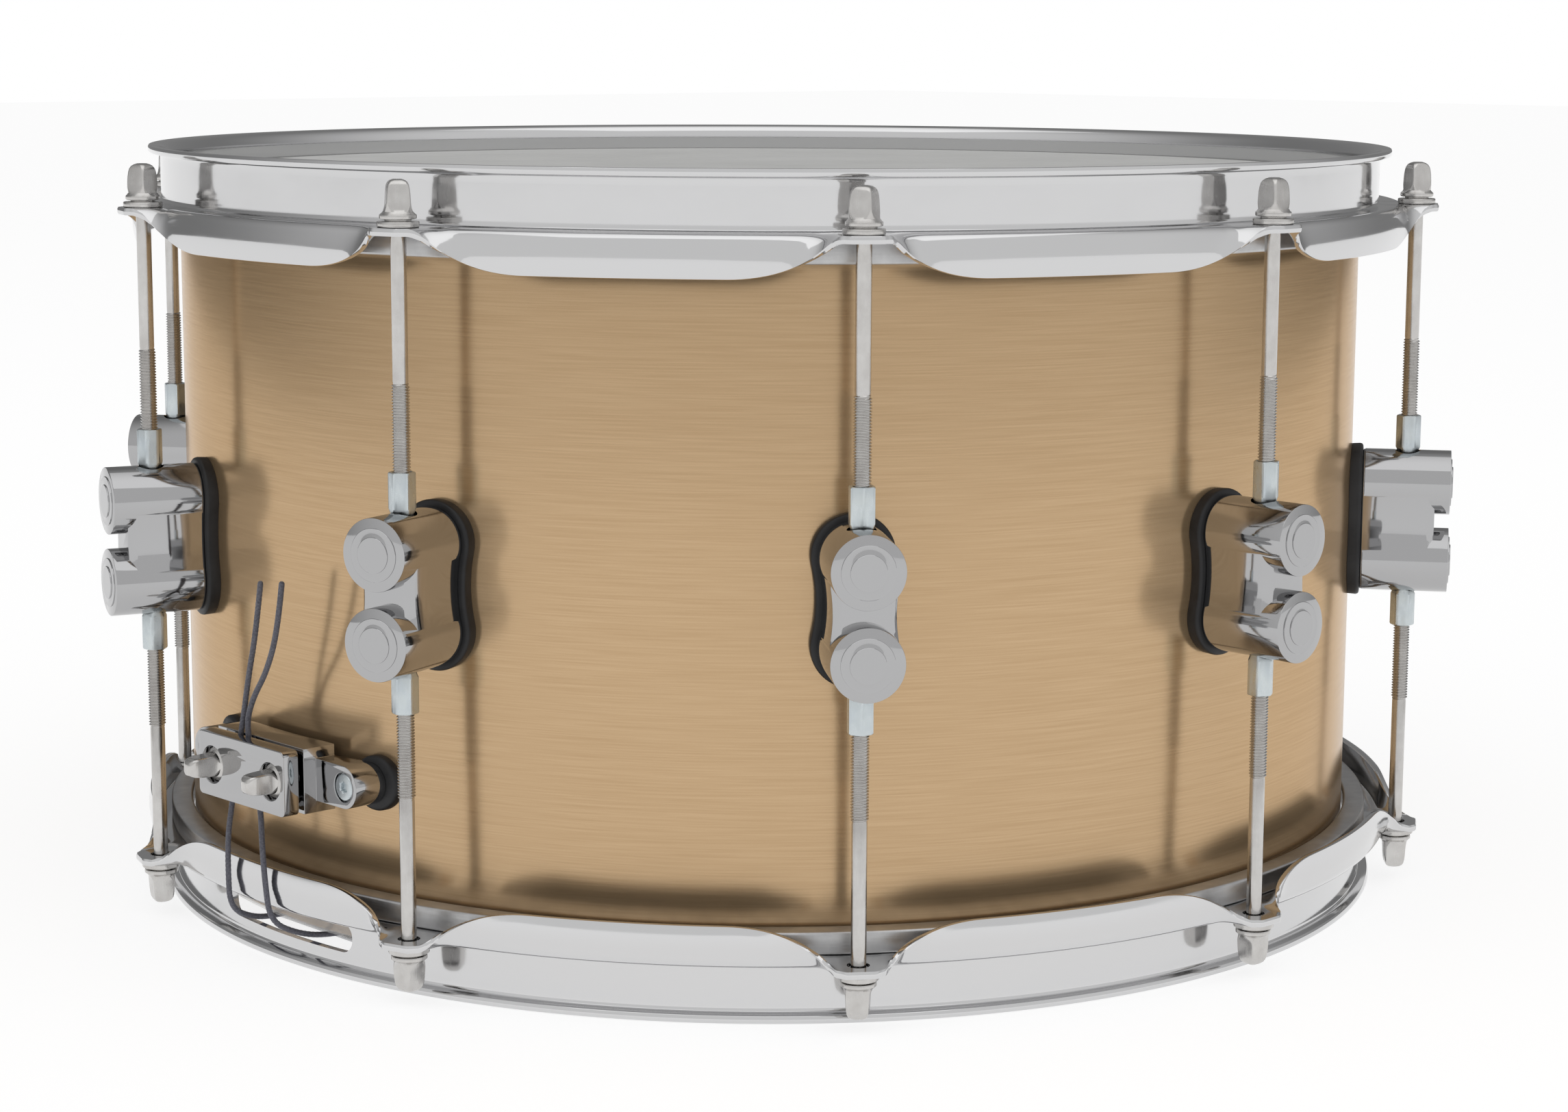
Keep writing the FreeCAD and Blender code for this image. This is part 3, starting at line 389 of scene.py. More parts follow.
BUTT_LEFT = [(-0.1680, 0.0167, 0.0066), (-0.1760, 0.0162, 0.0065), (-0.1845, 0.0143, 0.0083),
             (-0.1926, 0.0124, 0.0128), (-0.1932, 0.0121, 0.0235), (-0.1924, 0.0129, 0.0340),
             (-0.190575, 0.0131, 0.0425), (-0.190575, 0.0109, 0.0540), (-0.190575, 0.0070, 0.0660),
             (-0.1909, 0.0034, 0.0790), (-0.1913, -0.0016, 0.0930), (-0.1915, -0.0046, 0.1070)]
BUTT_RIGHT = [(-0.1680, -0.0110, 0.0066), (-0.1760, -0.0102, 0.0065), (-0.1845, -0.0089, 0.0083),
              (-0.1926, -0.0072, 0.0128), (-0.1932, -0.0060, 0.0235), (-0.1925, -0.0039, 0.0340),
              (-0.190575, -0.0008, 0.0425), (-0.190575, 0.0018, 0.0540), (-0.190575, 0.0054, 0.0655),
              (-0.1909, 0.0016, 0.0735), (-0.1912, -0.0063, 0.0826), (-0.1915, -0.0123, 0.0950),
              (-0.1919, -0.0153, 0.1083)]
STRAINER_LEFT = [(0.1680, 0.0129, 0.0066), (0.1760, 0.0123, 0.0065), (0.1845, 0.0113, 0.0083),
                 (0.1926, 0.0104, 0.0128), (0.1934, 0.0101, 0.0235), (0.1940, 0.0098, 0.0340),
                 (0.195825, 0.0095, 0.0440), (0.195825, 0.0088, 0.0565), (0.195825, 0.0094, 0.0680),
                 (0.195825, 0.0086, 0.0785)]
STRAINER_RIGHT = [(x, -y, z) for x, y, z in STRAINER_LEFT]
CORD_DIAMETER = 0.00155
CORD_STRANDS = 8
BRAID_LAY = 0.0052


def route_points(points):
    """The points of the route's smooth curve, in metres."""
    curve = bpy.data.curves.new("route", "CURVE")
    curve.dimensions = "3D"
    curve.resolution_u = 16
    spline = curve.splines.new("NURBS")
    spline.points.add(len(points) - 1)
    for point, place in zip(spline.points, points):
        point.co = (*place, 1)
    spline.order_u = 3
    spline.use_endpoint_u = True
    holder = bpy.data.objects.new("route", curve)
    bpy.context.scene.collection.objects.link(holder)
    bpy.context.view_layer.update()
    mesh = bpy.data.meshes.new_from_object(holder.evaluated_get(bpy.context.evaluated_depsgraph_get()))
    line = [vertex.co.copy() for vertex in mesh.vertices]
    bpy.data.objects.remove(holder)
    bpy.data.meshes.remove(mesh)
    return line


def evenly(line, gap):
    """The line again with its points a gap apart."""
    spaced = [line[0].copy()]
    left = gap
    for start, end in zip(line, line[1:]):
        length = (end - start).length
        while left <= length:
            spaced.append(start.lerp(end, left / length))
            left += gap
        left -= length
    spaced.append(line[-1].copy())
    return spaced


def braid_height(along, around):
    """How far the braid's strands stand out, from 0 to 1, where two sets of strands cross."""
    turn = math.tau * along / BRAID_LAY
    half = CORD_STRANDS / 2
    one = math.cos(half * around + half * turn)
    other = math.cos(half * around - half * turn)
    return max(one, other) * 0.5 + 0.5


def make_cord(name, route):
    line = evenly(route_points(route), 0.00022)
    tangent = (line[1] - line[0]).normalized()
    side = tangent.orthogonal().normalized()
    loops = []
    along = 0.0
    columns = 20
    for index, place in enumerate(line):
        ahead = line[min(index + 1, len(line) - 1)] - line[max(index - 1, 0)]
        tangent = ahead.normalized()
        side = (side - tangent * side.dot(tangent)).normalized()
        across = tangent.cross(side)
        along += (place - line[index - 1]).length if index else 0.0
        end_gap = min(index, len(line) - 1 - index)
        taper = min(1.0, 0.55 + 0.15 * end_gap)
        loop = []
        for column in range(columns):
            around = math.tau * column / columns
            radius = CORD_DIAMETER / 2 * (0.93 + 0.12 * braid_height(along, around)) * taper
            point = place + (side * math.cos(around) + across * math.sin(around)) * radius
            loop.append(tuple(point / MM))
        loops.append(loop)
    obj = facing_out(make_object(name, loft(loops, True, True), BRAID, 60.0))
    return obj, line, along


def add_cord(name, route, node, stretches=False):
    obj, line, length = make_cord(name, route)
    if stretches:
        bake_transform(obj)
        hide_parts(node)
    else:
        settle(obj, [node])


make_camera()
add_cord("braided_butt_cord_left", BUTT_LEFT, "butt_cord_left")
add_cord("braided_butt_cord_right", BUTT_RIGHT, "butt_cord_right")
add_cord("braided_strainer_cord_left", STRAINER_LEFT, "strainer_cord_left", True)
add_cord("braided_strainer_cord_right", STRAINER_RIGHT, "strainer_cord_right", True)


# ---- hoops

GAUGE = 2.0
SHELF = 16.8
SKIRT_END = 27.0
WALL_MIDDLE = 182.2
SKIRT_MIDDLE = 190.0
EAR_REACH = 200.4
EAR_HALF = 5.6
SCALLOP_END = 34.0
SLOPES = [(EAR_HALF, 0.0), (7.4, 1.0), (11.0, 0.72), (16.0, 0.42), (24.0, 0.2), (SCALLOP_END, 0.0)]


def scallop_drop(across):
    """How far the sheet's edge is below the shelf, at a distance along the hoop from an ear's middle."""
    total = 0.0
    drop = 0.0
    for (start, slope), (end, next_slope) in zip(SLOPES, SLOPES[1:]):
        total += (slope + next_slope) / 2 * (end - start)
        reach = min(max(across - start, 0.0), end - start)
        slope_there = slope + (next_slope - slope) * reach / (end - start)
        drop += (slope + slope_there) / 2 * reach
    return drop / total * (SKIRT_END - SHELF)


def smooth_step(value, start, end):
    share = min(max((value - start) / (end - start), 0.0), 1.0)
    return share * share * (3 - 2 * share)


def edge_radius(across):
    """How far out the sheet's edge is: the ear's tip, then a flare that dies away along the skirt."""
    ear = EAR_REACH - 1.6 * smooth_step(across, 3.4, EAR_HALF + 0.4)
    flare = SKIRT_MIDDLE + 8.6 * math.exp(-max(across - EAR_HALF, 0.0) / 7.0)
    tip = smooth_step(across, EAR_HALF - 0.4, EAR_HALF + 2.2)
    return ear * (1 - tip) + flare * tip


def rounded_corner(before, corner, after, radius, steps):
    """Points of a line through a corner that is rounded off, from before to after."""
    before, corner, after = Vector(before), Vector(corner), Vector(after)
    reach_in = min(radius, (before - corner).length * 0.9)
    reach_out = min(radius, (after - corner).length * 0.9)
    start = corner + (before - corner).normalized() * reach_in
    end = corner + (after - corner).normalized() * reach_out
    points = []
    for step in range(steps + 1):
        share = step / steps
        points.append(start.lerp(corner, share).lerp(corner.lerp(end, share), share))
    return points


def hoop_section(across):
    """The sheet's middle line from the lip to the skirt's edge, as (radius, height above the rim)."""
    drop = scallop_drop(across)
    edge = Vector((edge_radius(across), SHELF + drop))
    out = smooth_step(across, EAR_HALF - 1.0, 15.0)
    dent = 0.9 * math.exp(-((across - 9.5) / 2.6) ** 2)
    corner = Vector((EAR_REACH - 6.0 - (EAR_REACH - 6.0 - SKIRT_MIDDLE - 0.2) * out - dent, SHELF + 0.4 * dent))
    lip = [Vector((186.35, 1.05)), Vector((185.8, 1.0)), Vector((184.9, 1.0))]
    lip += rounded_corner((184.9, 1.0), (WALL_MIDDLE, 1.2), (WALL_MIDDLE, 6.0), 2.3, 5)
    wall = [Vector((WALL_MIDDLE, height)) for height in (4.6, 7.0, 9.5, 12.0, 14.0)]
    shelf = rounded_corner((WALL_MIDDLE, 14.0), (WALL_MIDDLE, SHELF), (corner.x, corner.y), 2.0, 5)
    middle = [shelf[-1].lerp(corner, share) for share in (0.3, 0.6)]
    bend = rounded_corner(middle[-1], corner, edge, 1.9, 6)
    last = [bend[-1].lerp(edge, share) for share in (0.2, 0.4, 0.6, 0.8, 1.0)]
    crown = 0.55 * smooth_step(across, 8.0, 26.0)
    for index, share in enumerate((0.2, 0.4, 0.6, 0.8)):
        last[index].x += crown * math.sin(math.pi * share)
    return lip + wall + shelf + middle + bend + last


def across_steps():
    """Distances from an ear's middle at which the hoop has columns, closer where its edge curves."""
    steps = [0.0]
    while steps[-1] < SCALLOP_END:
        near = steps[-1]
        steps.append(near + (0.55 if near < 12 else 1.0 if near < 20 else 2.0))
    return steps


def hoop_shape():
    """The pressed sheet of a hoop with its rim down, two faces a gauge apart."""
    half_pitch = math.pi / LUG_COUNT
    mean = 193.0
    angles = []
    side_steps = across_steps()
    gap = half_pitch * mean - side_steps[-1]
    extra = max(2, round(gap / 2.6))
    side_steps += [side_steps[-1] + gap * step / extra for step in range(1, extra + 1)]
    for lug_angle in sorted(LUG_ANGLES):
        for across in reversed(side_steps[1:]):
            angles.append((lug_angle - across / mean, across))
        for across in side_steps[:-1]:
            angles.append((lug_angle + across / mean, across))
    loops = []
    sections = {}
    for angle, across in angles:
        key = round(across, 6)
        if key not in sections:
            sections[key] = sheet_loop(hoop_section(across))
        loops.append([(radius * math.cos(angle), radius * math.sin(angle), height)
                      for radius, height in sections[key]])
    points, faces = loft(loops)
    count = len(loops[0])
    last = (len(loops) - 1) * count
    for row in range(count):
        following = (row + 1) % count
        faces.append((last + row, last + following, following, row))
    return points, faces


def sheet_loop(line):
    """Both faces of a sheet about its middle line, with round edges, as one closed loop."""
    sides = []
    for index, place in enumerate(line):
        ahead = line[min(index + 1, len(line) - 1)] - line[max(index - 1, 0)]
        normal = Vector((ahead.y, -ahead.x)).normalized()
        sides.append((place, normal))
    half = GAUGE / 2
    outer = [place + normal * half for place, normal in sides]
    inner = [place - normal * half for place, normal in sides]
    ends = []
    for (place, normal), direction in ((sides[-1], 1), (sides[0], -1)):
        forward = Vector((-normal.y, normal.x)) * direction
        ends.append([place + normal * half * 0.55 * direction + forward * 0.28,
                     place - normal * half * 0.55 * direction + forward * 0.28])
    return [tuple(point) for point in outer + ends[0] + inner[::-1] + ends[1][::1]]


def evaluated(obj):
    """The object's mesh with its modifiers applied."""
    bpy.context.view_layer.update()
    return bpy.data.meshes.new_from_object(obj.evaluated_get(bpy.context.evaluated_depsgraph_get()))


def cut_away(obj, shape, operation="DIFFERENCE"):
    """Cuts a shape out of an object, or joins it on, for good."""
    tool = facing_out(make_object("tool", shape, obj.data.materials[0]))
    modifier = obj.modifiers.new("cut", "BOOLEAN")
    modifier.operation = operation
    modifier.solver = "EXACT"
    modifier.object = tool
    mesh = evaluated(obj)
    obj.modifiers.clear()
    old = obj.data
    obj.data = mesh
    mesh.name = old.name
    bpy.data.objects.remove(tool)
    bpy.data.meshes.remove(old)
    mesh.shade_smooth()
    mesh.set_sharp_from_angle(angle=math.radians(35))
    return obj


def rod_hole_tools():
    hole = lathe([(3.0, SHELF - 4), (3.0, SHELF + 4)], 24, caps=(True, True))
    return [moved(hole, turned(angle) @ shifted(ROD_CIRCLE, 0, 0)) for angle in LUG_ANGLES]


def gate_tool(side):
    """The slot for the snare cords, a bar across the hoop's wall with round ends."""
    half_height = 4.2
    corner = 3.9
    outline = []
    for point_x, point_y, _ in rounded_square(half_height, corner, 0):
        stretch = math.copysign(29.0 - half_height, point_x)
        outline.append((point_x + stretch, point_y + 10.2))
    loops = [[(side * depth, y, z) for y, z in outline] for depth in (178.0, 186.5)]
    return loft(loops, True, True)


def make_hoops():
    shape = hoop_shape()
    bottom = facing_out(make_object("bottom_flange_hoop", shape, HOOP_CHROME, 30.0))
    cut_away(bottom, joined(rod_hole_tools()))
    top_mesh = bottom.data.copy()
    cut_away(bottom, joined([gate_tool(-1), gate_tool(1)]))
    settle(bottom, ["bottom_hoop"])
    matrix = shifted(0, 0, TOP_RIM * MM) @ Matrix.Rotation(math.pi, 4, "X")
    top_mesh.transform(matrix)
    top_mesh.name = "top_flange_hoop"
    top = bpy.data.objects.new("top_flange_hoop", top_mesh)
    bpy.context.scene.collection.objects.link(top)
    settle(top, ["top_hoop"])


make_hoops()


# ---- shell, heads and flesh hoops

def rounded_profile(inner, outer, low, high, radius):
    """A ring's section with round corners, as (radius, height) pairs."""
    corners = [(inner + radius, low + radius, 180), (outer - radius, low + radius, 270),
               (outer - radius, high - radius, 0), (inner + radius, high - radius, 90)]
    profile = []
    for centre_r, centre_z, start in corners:
        for step in range(4):
            angle = math.radians(start + 30 * step)
            profile.append((centre_r + radius * math.cos(angle), centre_z + radius * math.sin(angle)))
    return profile


def make_shell():
    inner = SHELL_RADIUS - 3.0
    low, high = SHELL_LOW.z, SHELL_HIGH.z
    profile = [(inner + 0.2, low + 2.6), (SHELL_RADIUS - 1.5, low), (SHELL_RADIUS - 0.9, low),
               (SHELL_RADIUS - 0.25, low + 0.35), (SHELL_RADIUS, low + 1.0), (SHELL_RADIUS, high - 1.0),
               (SHELL_RADIUS - 0.25, high - 0.35), (SHELL_RADIUS - 0.9, high), (SHELL_RADIUS - 1.5, high),
               (inner + 0.2, high - 2.6), (inner, high - 3.0), (inner, low + 3.0)]
    shell = facing_out(make_object("brushed_shell", lathe(profile, 360, closed=True), BRONZE, 30.0))
    vent = node_middle("vent_grommet")
    vent_angle = math.atan2(vent.y, vent.x)
    hole = lathe([(6.0, 160), (6.0, 190)], 48, caps=(True, True))
    along_x = Matrix.Rotation(math.pi / 2, 4, "Y")
    cut_away(shell, moved(hole, turned(vent_angle) @ shifted(0, 0, vent.z) @ along_x))
    settle(shell, ["shell"])


def make_flesh_hoops():
    for name, node in (("snare_flesh_ring", "snare_flesh_hoop"), ("batter_flesh_ring", "batter_flesh_hoop")):
        low, high = node_box(node)
        profile = rounded_profile(178.5, high.x, low.z, high.z, 0.7)
        piece(name, lathe(profile, 300, closed=True), ALUMINIUM, [node])


def paint(node, material):
    mesh = NODES[node].data
    mesh.materials.clear()
    mesh.materials.append(material)
    for polygon in mesh.polygons:
        polygon.material_index = 0


make_shell()
make_flesh_hoops()
paint("batter_head", COATED)
paint("snare_side_head", CLEAR)
paint("lug_screws", ZINC)


# ---- lugs and their gaskets

TURRET_SPREAD = 11.7
TURRET_RADIUS = 9.6
BODY_RADIUS = 9.5
LUG_BACK = 181.2
PAD_FRONT = 180.2
BRACKETS = ((-1, 54.0), (1, 70.0))  # side of the drum and height of each bracket
LUG_FACE = 207.0
WEB_FACE = 202.6
WAIST_HALF = 8.15


def peanut(offset, body=BODY_RADIUS):
    """The lug's outline as (across, up): two round ends and hollow sides, moved out by an offset."""
    hollow = (body ** 2 - TURRET_SPREAD ** 2 - WAIST_HALF ** 2) / (2 * (WAIST_HALF - body))
    reach = WAIST_HALF + hollow
    tangent = math.atan2(TURRET_SPREAD, reach)
    points = []
    for end in (1, -1):
        start = -tangent if end > 0 else math.pi - tangent
        sweep = math.pi + 2 * tangent
        for step in range(33):
            angle = start + sweep * step / 32
            points.append(((body + offset) * math.cos(angle),
                           end * TURRET_SPREAD + (body + offset) * math.sin(angle)))
        for step in range(1, 12):
            angle = tangent - 2 * tangent * step / 12
            across = reach - (hollow - offset) * math.cos(angle)
            up = (hollow - offset) * math.sin(angle)
            points.append((-end * across, end * up))
    return points


def turret_shape():
    """A turned button along +X with two shallow steps on its face."""
    profile = [(8.2, LUG_BACK + 0.3), (TURRET_RADIUS - 0.3, LUG_BACK + 0.4), (TURRET_RADIUS, LUG_BACK + 0.75),
               (TURRET_RADIUS, LUG_FACE - 0.16), (TURRET_RADIUS - 0.05, LUG_FACE - 0.05),
               (TURRET_RADIUS - 0.16, LUG_FACE), (7.16, LUG_FACE), (7.03, LUG_FACE + 0.04),
               (7.0, LUG_FACE + 0.28), (6.92, LUG_FACE + 0.35), (4.85, LUG_FACE + 0.35),
               (4.73, LUG_FACE + 0.39), (4.7, LUG_FACE + 0.62), (4.6, LUG_FACE + 0.7), (0.6, LUG_FACE + 0.7)]
    return moved(lathe(profile, 64, caps=(True, True)), Matrix.Rotation(math.pi / 2, 4, "Y"))


def lug_mesh():
    """A whole casting with its middle at height zero, pointing along +X."""
    levels = [(LUG_BACK, -0.5), (LUG_BACK + 0.15, -0.15), (LUG_BACK + 0.5, 0.0), (WEB_FACE - 2.2, 0.0),
              (WEB_FACE - 2.05, -0.08), (WEB_FACE - 0.1, -1.92), (WEB_FACE, -2.1)]
    loops = [[(level, across, up) for across, up in peanut(offset)] for level, offset in levels]
    casting = facing_out(make_object("lug_casting", loft(loops, True, True), CHROME, 30.0))
    for side in (-1, 1):
        cut_away(casting, moved(turret_shape(), shifted(0, 0, side * TURRET_SPREAD)), "UNION")
    tools = []
    for side in (-1, 1):
        ends = sorted((side * 15.6, side * 24.0))
        hole = lathe([(3.85, ends[0]), (3.85, ends[1])], 32, caps=(True, True))
        tools.append(moved(hole, shifted(ROD_CIRCLE, 0, 0)))
    cut_away(casting, joined(tools))
    mesh = casting.data
    bpy.data.objects.remove(casting)
    return mesh


def make_lugs():
    mesh = lug_mesh()
    for number, angle in enumerate(LUG_ANGLES, start=1):
        obj = bpy.data.objects.new(f"lug_casting_{number:02d}", mesh)
        bpy.context.scene.collection.objects.link(obj)
        obj.matrix_world = turned(angle) @ shifted(0, 0, MIDDLE * MM)
        settle(obj, [f"lug_{number:02d}"])


def on_shell(across, lift=0.0):
    return math.sqrt(SHELL_RADIUS ** 2 - across ** 2) + 0.05 + lift


def gasket_shape():
    """A rubber pad under a lug, hollow at its back to lie on the shell, with a round shoulder."""
    loops = [[(on_shell(across), across, up) for across, up in peanut(offset)] for offset in (0.6, 1.5)]
    levels = ((180.15, 1.65), (180.75, 1.5), (181.08, 1.1), (LUG_BACK - 0.02, 0.5), (LUG_BACK - 0.02, -2.0))
    for level, offset in levels:
        loops.append([(max(level, on_shell(across, 0.3)), across, up) for across, up in peanut(offset)])
    return loft(loops, True, True)


def bracket_pad_shape(side, across, height):
    """A round rubber pad under a bracket's boss."""
    middle = across * 34.5
    loops = []
    for radius, lift in ((6.4, None), (7.6, None), (7.6, PAD_FRONT - 0.9), (7.35, PAD_FRONT - 0.35),
                         (6.8, PAD_FRONT - 0.05), (5.0, PAD_FRONT - 0.05)):
        loop = []
        for x, y, _ in ring(radius, 0, 40):
            place = middle + x
            depth = on_shell(place) if lift is None else math.sqrt((lift + 0.05) ** 2 - place ** 2)
            loop.append((side * depth, place, height + y))
        loops.append(loop)
    return loft(loops, True, True)


def make_gaskets():
    pads = [moved(gasket_shape(), turned(angle) @ shifted(0, 0, MIDDLE)) for angle in LUG_ANGLES]
    for side, height in BRACKETS:
        for across in (-1, 1):
            pads.append(bracket_pad_shape(side, across, height))
    piece("moulded_gaskets", joined(pads), RUBBER, ["rubber_gaskets"], 50.0)


make_lugs()
make_gaskets()


# ---- tension rods, washers and tube nuts

HEAD_TIP = 3.6
PITCH = 0.794
THREAD_START = 55.4
THREAD_SHOWN = 83.0
ROD_END = 96.4


def key_loops(half, length, base_radius, tip):
    """A drum key's square head from its domed tip to its round collar, as loops going up."""
    levels = [(0.0, 0.40, 0.8), (0.03, 0.62, 0.6), (0.08, 0.78, 0.42), (0.16, 0.88, 0.28), (0.27, 0.93, 0.20),
              (0.42, 0.97, 0.17), (0.64, 1.0, 0.17), (0.75, 1.03, 0.24), (0.84, 1.1, 0.5), (0.92, 1.22, 0.85)]
    loops = []
    for share, width, roundness in levels:
        size = half * width
        loops.append(rounded_square(size, size * roundness, tip + share * length))
    loops.append(rounded_square(base_radius - 0.35, base_radius - 0.35, tip + length - 0.1))
    return loops


def circle_loops(pairs):
    return [rounded_square(radius, radius, height) for radius, height in pairs]


def thread_shape(start, end, root, crest, segments=24):
    """A screw thread about Z as a strip wound up its length."""
    profile = [(0.0, root), (0.36, crest), (0.5, crest), (0.86, root)]
    turns = int((end - start) / PITCH)
    steps = turns * segments
    points, faces = [], []
    for step in range(steps + 1):
        angle = math.tau * step / segments
        fade = min(1.0, step / segments, (steps - step) / segments)
        for part, radius in profile:
            reach = root - 0.12 + (radius - root + 0.12) * fade
            height = start + PITCH * (step / segments + part)
            points.append((reach * math.cos(angle), reach * math.sin(angle), height))
    parts = len(profile)
    for step in range(steps):
        here, after = step * parts, (step + 1) * parts
        for part in range(parts - 1):
            faces.append((here + part, after + part, after + part + 1, here + part + 1))
        if step + 1 + segments <= steps:
            above, above_after = (step + segments) * parts, (step + 1 + segments) * parts
            faces.append((here + parts - 1, after + parts - 1, above_after, above))
    return points, faces


def rod_shape():
    loops = key_loops(3.1, 8.9, 4.8, HEAD_TIP)
    base = HEAD_TIP + 8.9
    loops += circle_loops([(4.62, base), (4.78, base + 0.15), (4.8, base + 0.35), (4.8, base + 0.85),
                           (4.7, base + 1.1), (4.45, base + 1.2), (3.45, base + 1.2), (3.4, base + 1.68),
                           (2.05, base + 1.7), (2.05, THREAD_START - 0.2), (1.98, THREAD_START),
                           (1.98, ROD_END - 0.4), (1.7, ROD_END)])
    return joined([loft(loops, True, True), thread_shape(THREAD_START - 0.3, THREAD_SHOWN, 2.0, 2.4)])


def make_rods():
    proto = make_object("rod_proto", rod_shape(), ROD_STEEL, 32.0)
    mesh = proto.data
    bpy.data.objects.remove(proto)
    flip = shifted(0, 0, TOP_RIM * MM) @ Matrix.Rotation(math.pi, 4, "X")
    for side in ("snare", "batter"):
        for number in range(1, LUG_COUNT + 1):
            node = f"{side}_rod_{number:02d}"
            centre = node_middle(node)
            obj = bpy.data.objects.new(f"threaded_{node}", mesh)
            bpy.context.scene.collection.objects.link(obj)
            upright = Matrix.Identity(4) if side == "snare" else flip
            angle = math.atan2(centre.y, centre.x) + 0.25 * math.sin(5.3 * number + len(side))
            place = shifted(centre.x * MM, centre.y * MM, 0) @ upright @ turned(angle)
            obj.matrix_world = place
            settle(obj, [node])


def at_every_rod(shape):
    low = [moved(shape, turned(angle) @ shifted(ROD_CIRCLE, 0, 0)) for angle in LUG_ANGLES]
    return joined(low + [moved(each, upside_down()) for each in low])


def make_washers():
    washer = lathe(rounded_profile(2.5, 5.45, 14.22, 15.78, 0.32), 48, closed=True)
    piece("turned_washers", at_every_rod(washer), ROD_STEEL, ["rod_washers"])


def hexagon(flat, corner_limit, height):
    """A hexagon about Z with rounded corners, one of them pointing out."""
    points = []
    for step in range(48):
        angle = math.tau * step / 48
        off_flat = (angle + math.pi / 6) % (math.pi / 3) - math.pi / 6
        reach = min(flat / math.cos(math.pi / 6 - abs(off_flat)), corner_limit)
        points.append((reach * math.cos(angle), reach * math.sin(angle), height))
    return points


def make_tube_nuts():
    low = MIDDLE - 31.75
    loops = [ring(2.48, low + 3.0, 48), ring(2.48, low + 0.25, 48), ring(2.62, low + 0.05, 48),
             hexagon(2.95, 3.0, low), hexagon(3.15, 3.4, low + 0.14), hexagon(3.22, 3.6, low + 0.42),
             hexagon(3.22, 3.6, low + 9.6), hexagon(3.05, 3.3, low + 10.2), hexagon(2.75, 2.9, low + 11.3),
             ring(2.7, low + 22.0, 48)]
    points, faces = loft(loops, False, True)
    piece("hex_tube_nuts", at_every_rod((points, faces)), ZINC, ["lug_tube_nuts"], 22.0)


make_rods()
make_washers()
make_tube_nuts()


# ---- brackets: the CAD pieces again with their edges rounded

def rounded_copy(node, name, material, width=0.35, segments=2, angle=32.0):
    """A CAD node's mesh, welded and with its sharp edges rounded."""
    source = NODES[node]
    mesh = source.data.copy()
    mesh.name = name
    work = bmesh.new()
    work.from_mesh(mesh)
    bmesh.ops.remove_doubles(work, verts=work.verts, dist=0.000004)
    bmesh.ops.dissolve_limit(work, angle_limit=math.radians(2.0), verts=work.verts, edges=work.edges)
    work.to_mesh(mesh)
    work.free()
    mesh.materials.clear()
    mesh.materials.append(material)
    for polygon in mesh.polygons:
        polygon.material_index = 0
    obj = bpy.data.objects.new(name, mesh)
    bpy.context.scene.collection.objects.link(obj)
    bevel = obj.modifiers.new("round", "BEVEL")
    bevel.width = width * MM
    bevel.segments = segments
    bevel.limit_method = "ANGLE"
    bevel.angle_limit = math.radians(angle)
    bevel.use_clamp_overlap = True
    final = evaluated(obj)
    obj.modifiers.clear()
    obj.data = final
    final.name = name
    bpy.data.meshes.remove(mesh)
    final.shade_smooth()
    final.set_sharp_from_angle(angle=math.radians(38))
    return settle(obj, [node])


rounded_copy("butt_base", "butt_casting", CHROME, 0.4, 3)
rounded_copy("butt_clamp_plate", "butt_front_plate", CHROME, 0.7, 3)
rounded_copy("strainer_base", "strainer_frame", CHROME, 0.4, 3)
rounded_copy("strainer_lever", "strainer_throw_lever", CHROME, 0.5, 3)
rounded_copy("strainer_carriage", "strainer_slide", CHROME, 0.3)
rounded_copy("strainer_clamp_block", "strainer_jaw", CHROME, 0.3)
rounded_copy("strainer_clamp_plate", "strainer_front_plate", CHROME, 0.7, 3)
rounded_copy("lever_pivots", "lever_pivot_screws", ROD_STEEL, 0.25)
rounded_copy("snare_end_plates", "snare_solder_plates", WIRE_STEEL, 0.2)
rounded_copy("vent_grommet", "vent_eyelet", CHROME, 0.25)


# ---- screws, tension knob and snare wires

CLAMP_SCREW_OFFSET = 13.9
CLAMP_HEAD = 9.4
BRACKET_SCREW_OFFSET = 33.0
BRACKET_SCREW_TIP = 185.75
WIRE_COUNT = 20
WIRE_PITCH = 2.45
WIRE_HEIGHT = 6.8
WIRE_REACH = 155.9


def laid(shape, side, outer, across, height):
    """A shape drawn up Z from its outer tip, laid along X so that it points into the drum."""
    lying = Matrix.Rotation(-side * math.pi / 2, 4, "Y")
    return moved(shape, shifted(side * outer, across, height) @ lying)


def clamp_screw(length):
    loops = key_loops(2.8, length, 4.6, 0.0)
    loops += circle_loops([(4.42, length), (4.56, length + 0.12), (4.6, length + 0.3), (4.6, length + 1.15),
                           (4.45, length + 1.4), (2.0, length + 1.4), (2.0, length + 5.0)])
    return loft(loops, True, True)


def star(size, depth, height):
    """A six-pointed star with round points."""
    points = []
    for step in range(48):
        angle = math.tau * step / 48
        reach = size - depth * (0.5 - 0.5 * math.cos(6 * angle))
        points.append((reach * math.cos(angle), reach * math.sin(angle), height))
    return points


def bracket_screw():
    loops = [star(1.55, 0.5, 0.95), star(1.75, 0.5, 0.12), star(1.85, 0.45, 0.0), ring(3.1, 0.0, 48),
             ring(3.5, 0.12, 48), ring(3.72, 0.4, 48), ring(3.72, 1.3, 48), ring(2.3, 1.3, 48),
             ring(2.3, 19.7, 48), ring(2.0, 19.95, 48)]
    nut = [ring(2.35, 15.78, 48), hexagon(3.3, 3.7, 15.76), hexagon(3.45, 3.95, 16.1), hexagon(3.45, 3.95, 18.6),
           hexagon(3.3, 3.7, 18.92), ring(2.35, 18.9, 48)]
    return joined([loft(loops, True, True), loft(nut, False, False)])


